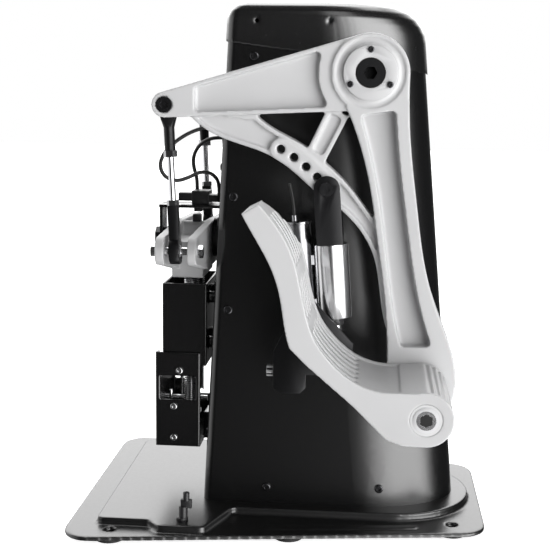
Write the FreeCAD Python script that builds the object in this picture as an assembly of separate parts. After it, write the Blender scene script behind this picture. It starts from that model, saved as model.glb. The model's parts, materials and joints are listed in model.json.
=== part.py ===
# Suspended rudder pedal unit with toe brakes: every sub-part as its own solid, in millimetres.
#
# Frame: +Z up, +X towards the seated user, -Y on the user's left. The origin is on the ground,
# under the middle of the base plate. The left side is drawn first and the right side mirrors it.
import FreeCAD
import Part
import math
import os

V = FreeCAD.Vector
X_AXIS = V(1, 0, 0)
Y_AXIS = V(0, 1, 0)
Z_AXIS = V(0, 0, 1)

# ---- base -------------------------------------------------------------------------------------
PLATE_LENGTH = 345.0
PLATE_REAR_WIDTH = 272.0
PLATE_FRONT_WIDTH = 172.0
PLATE_CORNER_R = 22.0
PLATE_SHEET = 4.0
FOOT_HEIGHT = 4.0
FOOT_R = 12.0
PLATFORM_HEIGHT = 6.0
PLATFORM_WALL = 3.0
PLATFORM_CORNER_R = 6.0
FIXING_R = 4.5
REAR_FIXING_X = -135.0
REAR_FIXING_SPACING = 226.0
FRONT_FIXING_X = 145.0
FRONT_FIXING_SPACING = 140.0

# ---- tower ------------------------------------------------------------------------------------
TOWER_HALF_WIDTH = 54.0
TOWER_WALL = 2.0
TOWER_HEIGHT = 420.0
TOWER_REAR_BOTTOM_X = -67.0
TOWER_REAR_TOP_X = -47.5
TOWER_FRONT_BOTTOM_X = 149.0
TOWER_FRONT_TOP_X = 110.0
TOWER_NOSE = 85.0
TOWER_BEND_R = 7.0
CAP_PROUD = 1.6
CAP_WALL = 2.4
CAP_RISE = 15.0
CAP_SIDE_R = 15.0
CAP_FRONT_R = 30.0
CAP_STEPS = [0, 12, 24, 36, 48, 60, 70, 78, 84, 90]
CAP_REAR_EDGE_Z = 402.0
CAP_EDGE_FALL = 0.145
PANEL_HALF_WIDTH = 42.0
FRAME_PLATE = 6.0
FRAME_GAP = 60.0

# ---- rudder arms ------------------------------------------------------------------------------
HUB_X = 68.0
HUB_Z = 378.0
HUB_R = 30.0
SHAFT_R = 11.0
BEARING_R = 19.0
ARM_PLANE_Y = -90.0
ARM_THICKNESS = 30.0
BEAM_THICKNESS = 18.0
LEVER_STEP = 2.0
RIB = 3.6
CHANNEL_DEPTH = 3.0
LEVER_DEPTH = 6.5
LEG_DEPTH_OUT = 11.0
LEG_DEPTH_IN = 7.0
POCKET_CORNER = 3.0
HUB_BOSS_R = 40.0
TIP_X = -91.0
TIP_Z = 352.0
TIP_R = 10.0
TIP_SLOT = 14.0
TIP_BOLT_R = 3.2
TIP_HEAD_R = 6.2
TIP_SINK = 2.5
HEEL_X = 114.0
HEEL_Z = 135.0
HEEL_BOSS_R = 27.0
PIN_R = 7.0

# ---- pedals -----------------------------------------------------------------------------------
PEDAL_GAP = 3.0
PEDAL_WIDTH = 91.0
HEEL_R = 20.0
PEDAL_BUSH_R = 11.5
CHEEK = 6.0
FOOT_PLATE = 5.5
RIM_WIDTH = 5.0
GROOVE_WIDTH = 6.0
GROOVE_DEPTH = 2.2
GROOVE_COUNT = 6
RIM_HEIGHT = 1.0
PANEL_HEIGHTS = [(240.0, 276.0), (201.0, 228.0), (150.0, 192.0)]
PANEL_END_X = 64.0
BARREL_GROOVE_R = 1.6
BARREL_GROOVE_TURNS = [81.0, 66.0, 50.0, 35.0, 20.0]

# ---- brake struts -----------------------------------------------------------------------------
STRUT_TOP_X = 36.5
STRUT_TOP_Z = 289.0
STRUT_LOW_X = 47.0
STRUT_LOW_Z = 155.0
STRUT_R = 14.2
STRUT_BODY_TOP = 44.0
STRUT_BODY_LENGTH = 59.0
STRUT_ROD_R = 4.0
STRUT_GAP = 0.8
BRACKET_SHEET = 3.0
CLEVIS_WIDTH = 20.5
CLEVIS_PLATE = 3.0
STRUT_PIN_R = 4.0
HOLE_COUNT = 5
HOLE_PITCH = 11.8
HOLE_TURN = 51.0
HOLE_TURN_STEP = 2.9
PAD_R = 8.6
PAD_PROUD = 1.5
SENSOR_R = 9.6
SENSOR_OFFSET = 24.2

# ---- rocker and push rods ---------------------------------------------------------------------
ROCKER_Z = 236.0
ROD_SHIFT = 2.0
ROCKER_END_R = 11.5
ROCKER_FRONT_X = -99.0
ROCKER_PLATE = 7.0
ROCKER_OUTER = 33.0
ROCKER_AXLE_R = 6.0
ROD_LOW_X = -84.0
ROD_EYE_X = -89.8
ROD_R = 2.6
ROD_BALL_R = 6.5
ROD_BALL_WIDTH = 9.6
ROD_EYE_R = 10.5
ROCKER_PIN_R = 3.1
SPRING_PIN_Y = 20.0
SPRING_PIN_Z = 216.0
SPRING_X = -83.0
SPRING_R = 6.0
SPRING_BORE_R = 4.2
ANCHOR_Z = 84.0
LOBE_FRONT_X = -98.0
LOBE_BACK_X = -71.0
LOBE_HALF = 30.0
LOBE_WALL = 3.0
LOBE_DROP = 32.0
BRIDGE_FRONT_X = -112.0
BRIDGE_TOP_Z = 265.0
BRIDGE_SHEET = 2.5
BRIDGE_HALF_WIDTH = 14.0

# ---- hub cap ----------------------------------------------------------------------------------
HUB_CAP_R = 20.6
HUB_CAP = 2.6
HUB_SCREW_CIRCLE = 17.4
HUB_CAP_HOLE = 0.4
HUB_GROOVE_IN = 22.0
HUB_GROOVE_OUT = 27.0
HUB_GROOVE = 1.2

# ---- sensor cables ----------------------------------------------------------------------------
CORD_R = 1.6
SENSOR_HEIGHT = 12.0
LONG_LOOP = [(-50.0, -14.0, 330.0), (-60.0, -15.0, 332.5), (-72.0, -17.0, 332.0), (-84.5, -20.0, 327.5),
             (-96.0, -23.0, 320.0), (-105.5, -25.0, 310.5), (-109.5, -25.5, 299.5), (-105.2, -25.0, 289.8),
             (-95.5, -22.5, 286.0), (-85.5, -19.5, 289.0), (-76.5, -16.0, 294.0), (-67.5, -13.0, 293.5),
             (-61.4, -11.0, 287.8), (-60.0, -10.0, 280.8), (-60.0, -10.0, 274.0)]
SHORT_LOOP = [(-50.0, -11.0, 323.0), (-60.0, -9.5, 323.5), (-71.0, -6.0, 321.5), (-80.0, -1.0, 315.0),
              (-85.0, 4.0, 305.5), (-85.0, 7.0, 296.0), (-82.0, 8.0, 287.0), (-82.0, 8.0, 277.0)]

# ---- fits -------------------------------------------------------------------------------------
RUNNING = 0.05
BALL_GAP = 0.3
OPEN_PIVOT = 2.0
STRUT_PIVOT = 1.0

# ---- worked out -------------------------------------------------------------------------------
PLATE_X = PLATE_LENGTH / 2
PLATE_TOP = FOOT_HEIGHT + PLATE_SHEET
FLOOR_Z = PLATE_TOP + PLATFORM_HEIGHT
ARM_OUT = ARM_PLANE_Y - ARM_THICKNESS / 2
ARM_IN = ARM_PLANE_Y + ARM_THICKNESS / 2
PEDAL_IN = min(ARM_OUT - PEDAL_GAP, ARM_PLANE_Y - STRUT_R - STRUT_GAP - BRACKET_SHEET)
PEDAL_OUT = PEDAL_IN - PEDAL_WIDTH
ROCKER_REACH = ROD_SHIFT - ARM_PLANE_Y


# ---- basic shapes -----------------------------------------------------------------------------
def box(x0, x1, y0, y1, z0, z1):
    return Part.makeBox(x1 - x0, y1 - y0, z1 - z0, V(x0, y0, z0))


def rod_x(y, z, r, x0, x1):
    return Part.makeCylinder(r, x1 - x0, V(x0, y, z), X_AXIS)


def rod_y(x, z, r, y0, y1):
    return Part.makeCylinder(r, y1 - y0, V(x, y0, z), Y_AXIS)


def rod_z(x, y, r, z0, z1):
    return Part.makeCylinder(r, z1 - z0, V(x, y, z0), Z_AXIS)


def smooth(points):
    """One smooth edge through the points."""
    curve = Part.BSplineCurve()
    curve.interpolate(points)
    return curve.toShape()


def outline_face(runs):
    """A flat face bounded by runs of points: two points make a line, more make a smooth edge."""
    edges = []
    for points in runs:
        edges.append(Part.makeLine(*points) if len(points) == 2 else smooth(points))
    return Part.Face(Part.Wire(Part.__sortEdges__(edges)))


def xz(*pairs):
    return [V(x, 0, z) for x, z in pairs]


def slab(runs, y0, y1):
    """A side-view outline given in X and Z, standing between two Y planes."""
    face = outline_face(runs)
    face.translate(V(0, y0, 0))
    return face.extrude(V(0, y1 - y0, 0))


def polygon_xz(pairs, y0, y1):
    points = xz(*pairs)
    wire = Part.makePolygon(points + points[:1])
    face = Part.Face(wire)
    face.translate(V(0, y0, 0))
    return face.extrude(V(0, y1 - y0, 0))


def polygon_xy(pairs, z0, z1):
    points = [V(x, y, z0) for x, y in pairs]
    return Part.Face(Part.makePolygon(points + points[:1])).extrude(V(0, 0, z1 - z0))


def polygon_yz(pairs, x0, x1):
    points = [V(x0, y, z) for y, z in pairs]
    return Part.Face(Part.makePolygon(points + points[:1])).extrude(V(x1 - x0, 0, 0))


def join(*shapes):
    whole = shapes[0]
    for shape in shapes[1:]:
        whole = whole.fuse(shape)
    return whole.removeSplitter()


def group(shapes):
    return Part.makeCompound(list(shapes))


def upright_edges(shape):
    """The straight edges that run parallel to Z."""
    found = []
    for edge in shape.Edges:
        if len(edge.Vertexes) == 2:
            run = edge.Vertexes[1].Point - edge.Vertexes[0].Point
            if abs(run.x) < 1e-6 and abs(run.y) < 1e-6 and abs(run.z) > 1e-6:
                found.append(edge)
    return found


def hexagon(across, height, base, direction):
    """A hex prism of a given width across its flats."""
    r = across / math.sqrt(3)
    points = [V(r * math.cos(a), r * math.sin(a), 0) for a in [math.radians(60 * i) for i in range(7)]]
    prism = Part.Face(Part.makePolygon(points)).extrude(V(0, 0, height))
    turn = FreeCAD.Rotation(Z_AXIS, direction)
    prism.Placement = FreeCAD.Placement(base, turn)
    return prism


def button_screw(at, outward, head_r, head, shank_r, shank):
    """A round-headed socket screw whose head stands on the surface at 'at'."""
    dome = Part.makeCylinder(head_r, head, at, outward)
    dome = dome.makeFillet(head * 0.45, [dome.Edges[0]]) if head_r > head else dome
    socket = hexagon(head_r * 0.9, head, at + outward * (head * 0.45), outward)
    stem = Part.makeCylinder(shank_r, shank, at - outward * shank, outward)
    return join(dome.cut(socket), stem)


# ---- base -------------------------------------------------------------------------------------
def plate_half_width(x):
    share = (x + PLATE_X) / PLATE_LENGTH
    return (PLATE_REAR_WIDTH + (PLATE_FRONT_WIDTH - PLATE_REAR_WIDTH) * share) / 2


def fixing_points():
    rear = [(REAR_FIXING_X, s * REAR_FIXING_SPACING / 2) for s in (-1, 1)]
    front = [(FRONT_FIXING_X, s * FRONT_FIXING_SPACING / 2) for s in (-1, 1)]
    return rear + front


def platform_outline(inset):
    """Half of the raised platform's edge, from the rear round to the front, pulled in by inset."""
    rear = -PLATE_X + 24 + inset
    half = TOWER_HALF_WIDTH + 14 - inset
    wide = half + 36
    lobe = half + 48
    return [(rear, -wide), (-105 - inset, -wide), (-95 + inset, -lobe), (-57 - inset, -lobe),
            (-40 - inset, -half)]


def platform(inset, z0, z1):
    half = platform_outline(inset)
    centre = TOWER_FRONT_BOTTOM_X - TOWER_HALF_WIDTH
    radius = -half[-1][1]
    near = [V(x, y, z0) for x, y in half] + [V(centre, -radius, z0)]
    far = [V(p.x, -p.y, z0) for p in reversed(near)]
    nose = Part.Arc(near[-1], V(centre + radius, 0, z0), far[0]).toShape()
    edges = [Part.makeLine(a, b) for a, b in zip(near, near[1:])]
    edges += [nose]
    edges += [Part.makeLine(a, b) for a, b in zip(far, far[1:])]
    edges += [Part.makeLine(far[-1], near[0])]
    solid = Part.Face(Part.Wire(edges)).extrude(V(0, 0, z1 - z0))
    corners = [e for e in upright_edges(solid) if e.BoundBox.XMax < centre - 1]
    return solid.makeFillet(PLATFORM_CORNER_R, corners)


def make_base_plate():
    rear = PLATE_REAR_WIDTH / 2
    front = PLATE_FRONT_WIDTH / 2
    sheet = polygon_xy([(-PLATE_X, -rear), (PLATE_X, -front), (PLATE_X, front), (-PLATE_X, rear)],
                       FOOT_HEIGHT, PLATE_TOP)
    sheet = sheet.makeFillet(PLATE_CORNER_R, upright_edges(sheet))
    sheet = join(sheet, platform(0.0, PLATE_TOP - 0.5, FLOOR_Z))
    sheet = sheet.cut(platform(PLATFORM_WALL, FOOT_HEIGHT - 1, FLOOR_Z - PLATFORM_WALL))
    for side in (-1, 1):
        y0 = side * 96.0
        y1 = side * 81.0
        rib = polygon_xy([(-4, y0 - 4), (-4, y0 + 4), (112, y1 + 4), (112, y1 - 4)],
                         PLATE_TOP - 0.5, PLATE_TOP + 1.2)
        ends = [rod_z(-4, y0, 4, PLATE_TOP - 0.5, PLATE_TOP + 1.2),
                rod_z(112, y1, 4, PLATE_TOP - 0.5, PLATE_TOP + 1.2)]
        sheet = join(sheet, rib, *ends)
    for x, y in fixing_points():
        sheet = sheet.cut(rod_z(x, y, FIXING_R, 0, FLOOR_Z + 1))
    return sheet


def make_rubber_feet():
    feet = []
    for x, y in fixing_points():
        foot = rod_z(x, y, FOOT_R, 0, FOOT_HEIGHT)
        feet.append(foot.cut(rod_z(x, y, FIXING_R, -1, FOOT_HEIGHT + 1)))
    for side in (-1, 1):
        feet.append(rod_z(10, side * (plate_half_width(10) - FOOT_R - 4), FOOT_R, 0, FOOT_HEIGHT))
    return group(feet)


def make_plate_thumbscrew():
    x = -75.0
    y = -102.0
    foot = rod_z(x - 2, y, 5.0, FLOOR_Z, FLOOR_Z + 3)
    neck = rod_z(x - 1, y, 3.6, FLOOR_Z + 2, FLOOR_Z + 12)
    wings = box(x - 3, x + 6, y - 1.8, y + 1.8, FLOOR_Z + 11, FLOOR_Z + 18)
    stud = rod_z(x + 1.5, y, 2.6, FLOOR_Z + 17, FLOOR_Z + 24)
    return join(foot, neck, wings, stud)


# ---- tower ------------------------------------------------------------------------------------
def tower_rear_x(z):
    share = (z - FLOOR_Z) / (TOWER_HEIGHT - FLOOR_Z)
    return TOWER_REAR_BOTTOM_X + (TOWER_REAR_TOP_X - TOWER_REAR_BOTTOM_X) * share


def tower_front_x(z):
    share = (z - FLOOR_Z) / (TOWER_HEIGHT - FLOOR_Z)
    return TOWER_FRONT_BOTTOM_X + (TOWER_FRONT_TOP_X - TOWER_FRONT_BOTTOM_X) * share


def tower_nose_start(z):
    """Where the flat sides end and the half-elliptical front starts."""
    return tower_front_x(z) - TOWER_NOSE


def tower_outline(z, rear, start, nose, half, bend):
    """A plan with a flat rear, bends at its corners, flat sides and a half-elliptical front."""
    k = bend * (1 - math.sqrt(0.5))
    corners = [V(rear, -half + bend, z), V(rear + k, -half + k, z), V(rear + bend, -half, z)]
    mirrored = [V(p.x, -p.y, z) for p in reversed(corners)]
    ellipse = Part.Ellipse(V(start + nose, 0, z), V(start, half, z), V(start, 0, z))
    front = Part.ArcOfEllipse(ellipse, -math.pi / 2, math.pi / 2).toShape()
    edges = [Part.Arc(*corners).toShape(), Part.makeLine(corners[2], V(start, -half, z)), front,
             Part.makeLine(V(start, half, z), mirrored[0]), Part.Arc(*mirrored).toShape(),
             Part.makeLine(mirrored[2], corners[0])]
    return Part.Wire(edges)


def tower_section(z, offset):
    return tower_outline(z, tower_rear_x(z) - offset, tower_nose_start(z), TOWER_NOSE + offset,
                         TOWER_HALF_WIDTH + offset, TOWER_BEND_R + offset)


def tower_solid(offset, z0, z1):
    return Part.makeLoft([tower_section(z0, offset), tower_section(z1, offset)], True, True)


def tower_side_y(x, z):
    """How far the tower's outer face stands from the middle plane, at a place on its side."""
    forward = max(0.0, x - tower_nose_start(z)) / TOWER_NOSE
    return TOWER_HALF_WIDTH * math.sqrt(1 - forward ** 2)


def cap_edge_z(x):
    return CAP_REAR_EDGE_Z - CAP_EDGE_FALL * (x - TOWER_REAR_TOP_X)


def below_cap_edge(lift):
    """The space under the cap's slanted lower edge, raised by lift."""
    return polygon_xz([(-200, -10), (200, -10), (200, cap_edge_z(200) + lift),
                       (-200, cap_edge_z(-200) + lift)], -150, 150)


def tower_wall():
    wall = tower_solid(0, FLOOR_Z, TOWER_HEIGHT).cut(
        tower_solid(-TOWER_WALL, FLOOR_Z - 1, TOWER_HEIGHT + 1))
    wall = wall.common(below_cap_edge(8.0))
    return wall.cut(rod_y(HUB_X, HUB_Z, SHAFT_R + 3, -80, 80))


def panel_window(grow):
    return box(-100, -20, -PANEL_HALF_WIDTH - grow, PANEL_HALF_WIDTH + grow, 34 - grow, 378 + grow)


def tower_screw_places():
    """Screw centres on the near wall, as X and Z."""
    return [(-26, 391.0), (-42, 277.0), (-46, 182.0), (-12, 28.0), (84, 30.0)]


def make_tower_shell():
    wall = tower_wall().cut(panel_window(0.3))
    for x, z in tower_screw_places():
        wall = wall.cut(rod_y(x, z, 2.0, -80, 80))
    return wall


def make_rear_panel():
    panel = tower_wall().common(panel_window(0.0))
    hole = rod_x(0, ROCKER_Z, ROCKER_AXLE_R, -100, 0)
    inlet = box(-100, 0, 14, 28, 50, 58)
    grommet = rod_x(-14, 326, 7.0, -100, 0)
    return panel.cut(hole).cut(inlet).cut(grommet)


def crown_inset(z, top, radius):
    """How far a rounded crown has drawn in at a height."""
    rise = max(0.0, z - (top - radius))
    return radius - math.sqrt(max(0.0, radius ** 2 - rise ** 2))


def cap_block(offset, low, top, side_r, front_r):
    """The tower's shape up to a rounded crown, whose radius is larger at the front."""
    sections = [tower_section(low, offset)]
    for step in CAP_STEPS:
        z = top - front_r + front_r * math.sin(math.radians(step))
        side = crown_inset(z, top, side_r)
        front = crown_inset(z, top, front_r)
        rear = tower_rear_x(z) - offset + side
        sections.append(tower_outline(z, rear, tower_nose_start(z), TOWER_NOSE + offset - front,
                                      TOWER_HALF_WIDTH + offset - side, TOWER_BEND_R + offset))
    return Part.makeLoft(sections, True, True)


def make_tower_cap():
    top = TOWER_HEIGHT + CAP_RISE
    outer = cap_block(CAP_PROUD, 340, top, CAP_SIDE_R, CAP_FRONT_R)
    inner = cap_block(RUNNING, 339, top - CAP_WALL, CAP_SIDE_R - CAP_WALL, CAP_FRONT_R - CAP_WALL)
    cap = outer.cut(inner).cut(below_cap_edge(0.0))
    cap = cap.cut(rod_y(HUB_X, HUB_Z, SHAFT_R + 3, -80, 80))
    z = top - CAP_SIDE_R - 1
    for x in (-24, 34, 84):
        half = tower_side_y(x, z) + CAP_PROUD
        for side in (-1, 1):
            cap = cap.cut(rod_y(x, z, 2.2, side * half - 0.8, side * half + 0.8))
    for x, z in tower_screw_places():
        cap = cap.cut(rod_y(x, z, 2.0, -80, 80))
    return cap


def make_tower_screws():
    screws = []
    shell = make_tower_shell()
    for x, z in tower_screw_places():
        proud = CAP_PROUD if z > cap_edge_z(x) else 0
        for side in (-1, 1):
            at = V(x, side * (tower_side_y(x, z) + proud), z)
            screws.append(button_screw(at, V(0, side, 0), 3.6, 2.0, 1.9, 6.0).cut(shell))
    for z in (70, 200, 300, 360):
        for side in (-1, 1):
            at = V(tower_rear_x(z), side * (PANEL_HALF_WIDTH - 5), z)
            disc = Part.makeCylinder(3.0, 2.2, at - X_AXIS * 2.0, X_AXIS)
            screws.append(disc.cut(tower_solid(0, FLOOR_Z, TOWER_HEIGHT)))
    return group(screws)


# ---- inner frame ------------------------------------------------------------------------------
def make_frame_sides():
    """Two steel plates that carry the main shaft and stand on folded feet."""
    sides = []
    inner = FRAME_GAP / 2
    outer = inner + FRAME_PLATE
    for s in (-1, 1):
        y0, y1 = sorted((s * inner, s * outer))
        plate = polygon_xz([(-48, FLOOR_Z), (108, FLOOR_Z), (100, 200), (HUB_X + 17, HUB_Z + 20),
                            (HUB_X - 24, HUB_Z + 20), (-36, 300)], y0, y1)
        f0, f1 = sorted((s * (inner - 14), s * outer))
        foot = box(-44, 100, f0, f1, FLOOR_Z, FLOOR_Z + FRAME_PLATE)
        side = join(plate, foot).cut(rod_y(HUB_X, HUB_Z, SHAFT_R, y0 - 1, y1 + 1))
        side = side.cut(rod_y(20, 120, 26, y0 - 1, y1 + 1)).cut(rod_y(10, 240, 22, y0 - 1, y1 + 1))
        sides.append(side)
    return group(sides)


def make_frame_crossbars():
    inner = FRAME_GAP / 2
    places = [(-20, 60, 8), (80, 70, 8), (60, 200, 8), (30, 340, 8)]
    return group([rod_y(x, z, r, -inner, inner) for x, z, r in places])


def make_main_shaft():
    length = -ARM_OUT + 3.0
    shaft = rod_y(HUB_X, HUB_Z, SHAFT_R, -length, length)
    for s in (-1, 1):
        shaft = shaft.cut(hexagon(9.0, 12.0, V(HUB_X, s * length, HUB_Z), V(0, -s, 0)))
    return shaft


def make_circuit_board():
    face = -FRAME_GAP / 2
    board = box(-18, 42, face + 5, face + 6.6, 150, 218)
    chips = [box(-5, 9, face + 6.6, face + 8.6, 176, 190), box(20, 34, face + 6.6, face + 11, 158, 166)]
    pillars = [rod_y(x, z, 2.5, face, face + 5) for x, z in ((-15, 153), (39, 153), (39, 215))]
    return join(board, *chips, *pillars)


def make_usb_inlet():
    x = tower_rear_x(54)
    shell = box(x - 0.5, x + 13, 14, 28, 50, 58)
    return shell.cut(box(x - 1, x + 7, 15.5, 26.5, 51.5, 56.5))


# ---- centring mechanism behind the tower ------------------------------------------------------
def make_pivot_housing():
    front = ROCKER_FRONT_X + ROCKER_OUTER
    body = rod_x(0, ROCKER_Z, 17, front + 0.5, tower_rear_x(ROCKER_Z) + 3)
    base = box(tower_rear_x(ROCKER_Z) - 3, tower_rear_x(ROCKER_Z) + 3, -26, 26, ROCKER_Z - 22, ROCKER_Z + 20)
    body = join(body, base).cut(tower_solid(0, FLOOR_Z, TOWER_HEIGHT))
    return body.cut(rod_x(0, ROCKER_Z, ROCKER_AXLE_R, -120, 0))


def make_axle_bridge():
    """Folded strap over the rocker that carries the axle's free end and the sensor."""
    top = box(BRIDGE_FRONT_X, tower_rear_x(BRIDGE_TOP_Z) + 3, -BRIDGE_HALF_WIDTH, BRIDGE_HALF_WIDTH,
              BRIDGE_TOP_Z - BRIDGE_SHEET, BRIDGE_TOP_Z)
    leg = box(BRIDGE_FRONT_X, BRIDGE_FRONT_X + BRIDGE_SHEET, -11, 11, ROCKER_Z - 11, BRIDGE_TOP_Z)
    back = box(tower_rear_x(BRIDGE_TOP_Z) - BRIDGE_SHEET, tower_rear_x(BRIDGE_TOP_Z) + 3,
               -BRIDGE_HALF_WIDTH, BRIDGE_HALF_WIDTH, BRIDGE_TOP_Z - 1, BRIDGE_TOP_Z + 12)
    bridge = join(top, leg, back).cut(tower_solid(0, FLOOR_Z, TOWER_HEIGHT))
    return bridge.cut(rod_x(0, ROCKER_Z, ROCKER_AXLE_R, -130, -100))


def make_rocker_axle():
    end = tower_rear_x(ROCKER_Z) + TOWER_WALL + 4
    axle = rod_x(0, ROCKER_Z, ROCKER_AXLE_R, BRIDGE_FRONT_X, end)
    head = hexagon(14, 5, V(BRIDGE_FRONT_X, 0, ROCKER_Z), V(-1, 0, 0))
    collar = rod_x(0, ROCKER_Z, 8.5, BRIDGE_FRONT_X + BRIDGE_SHEET, ROCKER_FRONT_X - 0.4)
    return join(axle, head, collar)


def make_rudder_sensor():
    """Angle sensor on the bridge: body, two plug housings and the reading stem over the magnet."""
    z = BRIDGE_TOP_Z
    body = box(-84, -69, -10, 10, z, z + SENSOR_HEIGHT)
    plug_front = box(-96, -84, -8, 2, z + 3, z + 10)
    plug_rear = box(-69, -58.5, -14, 4, z + 3, z + 9)
    stem = box(-83, -76, -4, 4, ROCKER_Z + 22.5, z)
    bridge = make_axle_bridge()
    return join(body, plug_front, plug_rear, stem).cut(bridge)


def make_spring_channel():
    """Sheet-metal tube round the two centring springs, held to the tower by two spacers."""
    outer = box(-105, -67, -36, 36, 128, 200)
    inner = box(-103, -69, -34, 34, 127, 201)
    spacers = [rod_x(y, z, 5, -68, -40) for y in (-20, 20) for z in (146, 186)]
    return join(outer, *spacers).cut(inner).cut(tower_solid(0, FLOOR_Z, TOWER_HEIGHT))


def make_anchor_box():
    """Lower bracket: side walls with a window, a front wall, a floor and a block on the tower."""
    outer = box(-111, -72, -38.2, 38.2, 56, 140)
    inner = box(-108.5, -60, -36.0, 36.0, 58.5, 141)
    bracket = outer.cut(inner).cut(box(-112, -100, -30, 30, 116, 141))
    bracket = bracket.cut(box(-107, -76, -40, 40, 98, 119))
    bracket = bracket.cut(box(-88, -60, 20, 40, 84, 127))
    block = box(-73, -50, -12, 12, 56, 80).cut(tower_solid(0, FLOOR_Z, TOWER_HEIGHT))
    bracket = join(bracket, block)
    for x, z in anchor_screw_places():
        bracket = bracket.cut(rod_y(x, z, 1.4, -40, 40))
    for s in (-1, 1):
        bracket = bracket.cut(rod_x(s * SPRING_PIN_Y, ANCHOR_Z, 2.5, -112, -74))
    return bracket


def anchor_screw_places():
    """Screw centres on the anchor box's side walls, as X and Z."""
    return [(-90, 124), (-95, 92), (-95, 64)]


def make_spring_anchors():
    """Cross pins at the foot of the springs, their lock screws and the side wall screws."""
    pieces = []
    for s in (-1, 1):
        y = s * SPRING_PIN_Y
        pieces.append(rod_x(y, ANCHOR_Z, 2.5, -110.5, -74))
        pieces.append(rod_z(-99, y + s * 8, 1.6, 58.5, 104))
    for x, z in anchor_screw_places():
        for s in (-1, 1):
            at = V(x, s * 38.2, z)
            pieces.append(button_screw(at, V(0, s, 0), 3.0, 1.8, 1.4, 2.2))
    return group(pieces)


def make_spring(side):
    """Coil spring drawn as the sleeve its turns fill, with an eye round the anchor pin."""
    x = SPRING_X
    y = side * SPRING_PIN_Y
    low = ANCHOR_Z + 9
    high = SPRING_PIN_Z - 11
    coil = rod_z(x, y, SPRING_R, low, high).cut(rod_z(x, y, SPRING_BORE_R, low - 1, high + 1))
    ring = rod_x(y, ANCHOR_Z, 5.2, x - 1.0, x + 1.0)
    neck = box(x - 1.0, x + 1.0, y - 5.5, y + 5.5, ANCHOR_Z + 4.4, low + 0.6)
    hole = rod_x(y, ANCHOR_Z, 3.2, x - 2, x + 2)
    return join(coil, ring, neck).cut(hole)


def rocker_plate(x0, x1):
    ends = [rod_x(s * ROCKER_REACH, ROCKER_Z, ROCKER_END_R, x0, x1) for s in (-1, 1)]
    bar = polygon_yz([(-ROCKER_REACH, ROCKER_Z - ROCKER_END_R), (-LOBE_HALF, ROCKER_Z - 24),
                      (LOBE_HALF, ROCKER_Z - 24), (ROCKER_REACH, ROCKER_Z - ROCKER_END_R),
                      (ROCKER_REACH, ROCKER_Z + ROCKER_END_R), (0, ROCKER_Z + 15),
                      (-ROCKER_REACH, ROCKER_Z + ROCKER_END_R)], x0, x1)
    return join(bar, *ends)


def make_rocker():
    """Two plates with a hub between them, and a lobe below that closes round the spring pins."""
    front = rocker_plate(ROCKER_FRONT_X, ROCKER_FRONT_X + ROCKER_PLATE)
    back_x = ROCKER_FRONT_X + ROCKER_OUTER
    back = rocker_plate(back_x - ROCKER_PLATE, back_x)
    hub = rod_x(0, ROCKER_Z, 14, ROCKER_FRONT_X, back_x)
    webs = [box(ROCKER_FRONT_X + 1, back_x - 1, y0, y1, ROCKER_Z - 4, ROCKER_Z + 4)
            for y0, y1 in ((-66, -8), (8, 66))]
    low = ROCKER_Z - LOBE_DROP
    lobe = box(LOBE_FRONT_X, LOBE_BACK_X, -LOBE_HALF, LOBE_HALF, low, ROCKER_Z - 8)
    hollow = box(LOBE_FRONT_X + LOBE_WALL, LOBE_BACK_X - LOBE_WALL, -LOBE_HALF + LOBE_WALL,
                 LOBE_HALF - LOBE_WALL, low - 1, ROCKER_Z - 6)
    rocker = join(front, back, lobe.cut(hollow), hub, *webs)
    rocker = rocker.cut(rod_x(0, ROCKER_Z, ROCKER_AXLE_R + RUNNING, -120, -50))
    for s in (-1, 1):
        rocker = rocker.cut(rod_x(s * ROCKER_REACH, ROCKER_Z, ROCKER_PIN_R, -120, -50))
        rocker = rocker.cut(rod_x(s * SPRING_PIN_Y, SPRING_PIN_Z, 2.5, -120, -50))
    return rocker


def make_rocker_pins():
    """End bolts that carry the rod balls, and the two pins that the springs hook on."""
    back_x = ROCKER_FRONT_X + ROCKER_OUTER
    pieces = []
    for s in (-1, 1):
        y = s * ROCKER_REACH
        bolt = rod_x(y, ROCKER_Z, ROCKER_PIN_R, ROCKER_FRONT_X - 0.5, back_x + 3)
        head = rod_x(y, ROCKER_Z, 4.6, ROCKER_FRONT_X - 4.5, ROCKER_FRONT_X)
        nut = hexagon(9.0, 4.5, V(back_x, y, ROCKER_Z), X_AXIS)
        pieces.append(join(bolt, head, nut))
        pieces.append(rod_x(s * SPRING_PIN_Y, SPRING_PIN_Z, 2.5, ROCKER_FRONT_X, back_x))
    return group(pieces)


def make_magnet_holder():
    base = ROCKER_Z + 13.0
    block = box(-84, -77, -4, 4, base, ROCKER_Z + 20)
    return block.cut(rod_x(0, ROCKER_Z, 14, -120, -50))


# ---- push rods --------------------------------------------------------------------------------
def rod_frame():
    """Length of the push rod and its lean from upright, in degrees."""
    dx = ROD_EYE_X - ROD_LOW_X
    dz = TIP_Z - ROCKER_Z
    return math.hypot(dx, dz), math.degrees(math.atan2(dx, dz))


def place_on_rod(shape):
    """Moves a shape drawn up the Z axis from the origin onto the left push rod."""
    shape = shape.copy()
    shape.rotate(V(0, 0, 0), Y_AXIS, rod_frame()[1])
    shape.translate(V(ROD_LOW_X, -ROCKER_REACH, ROCKER_Z))
    return shape


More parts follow.
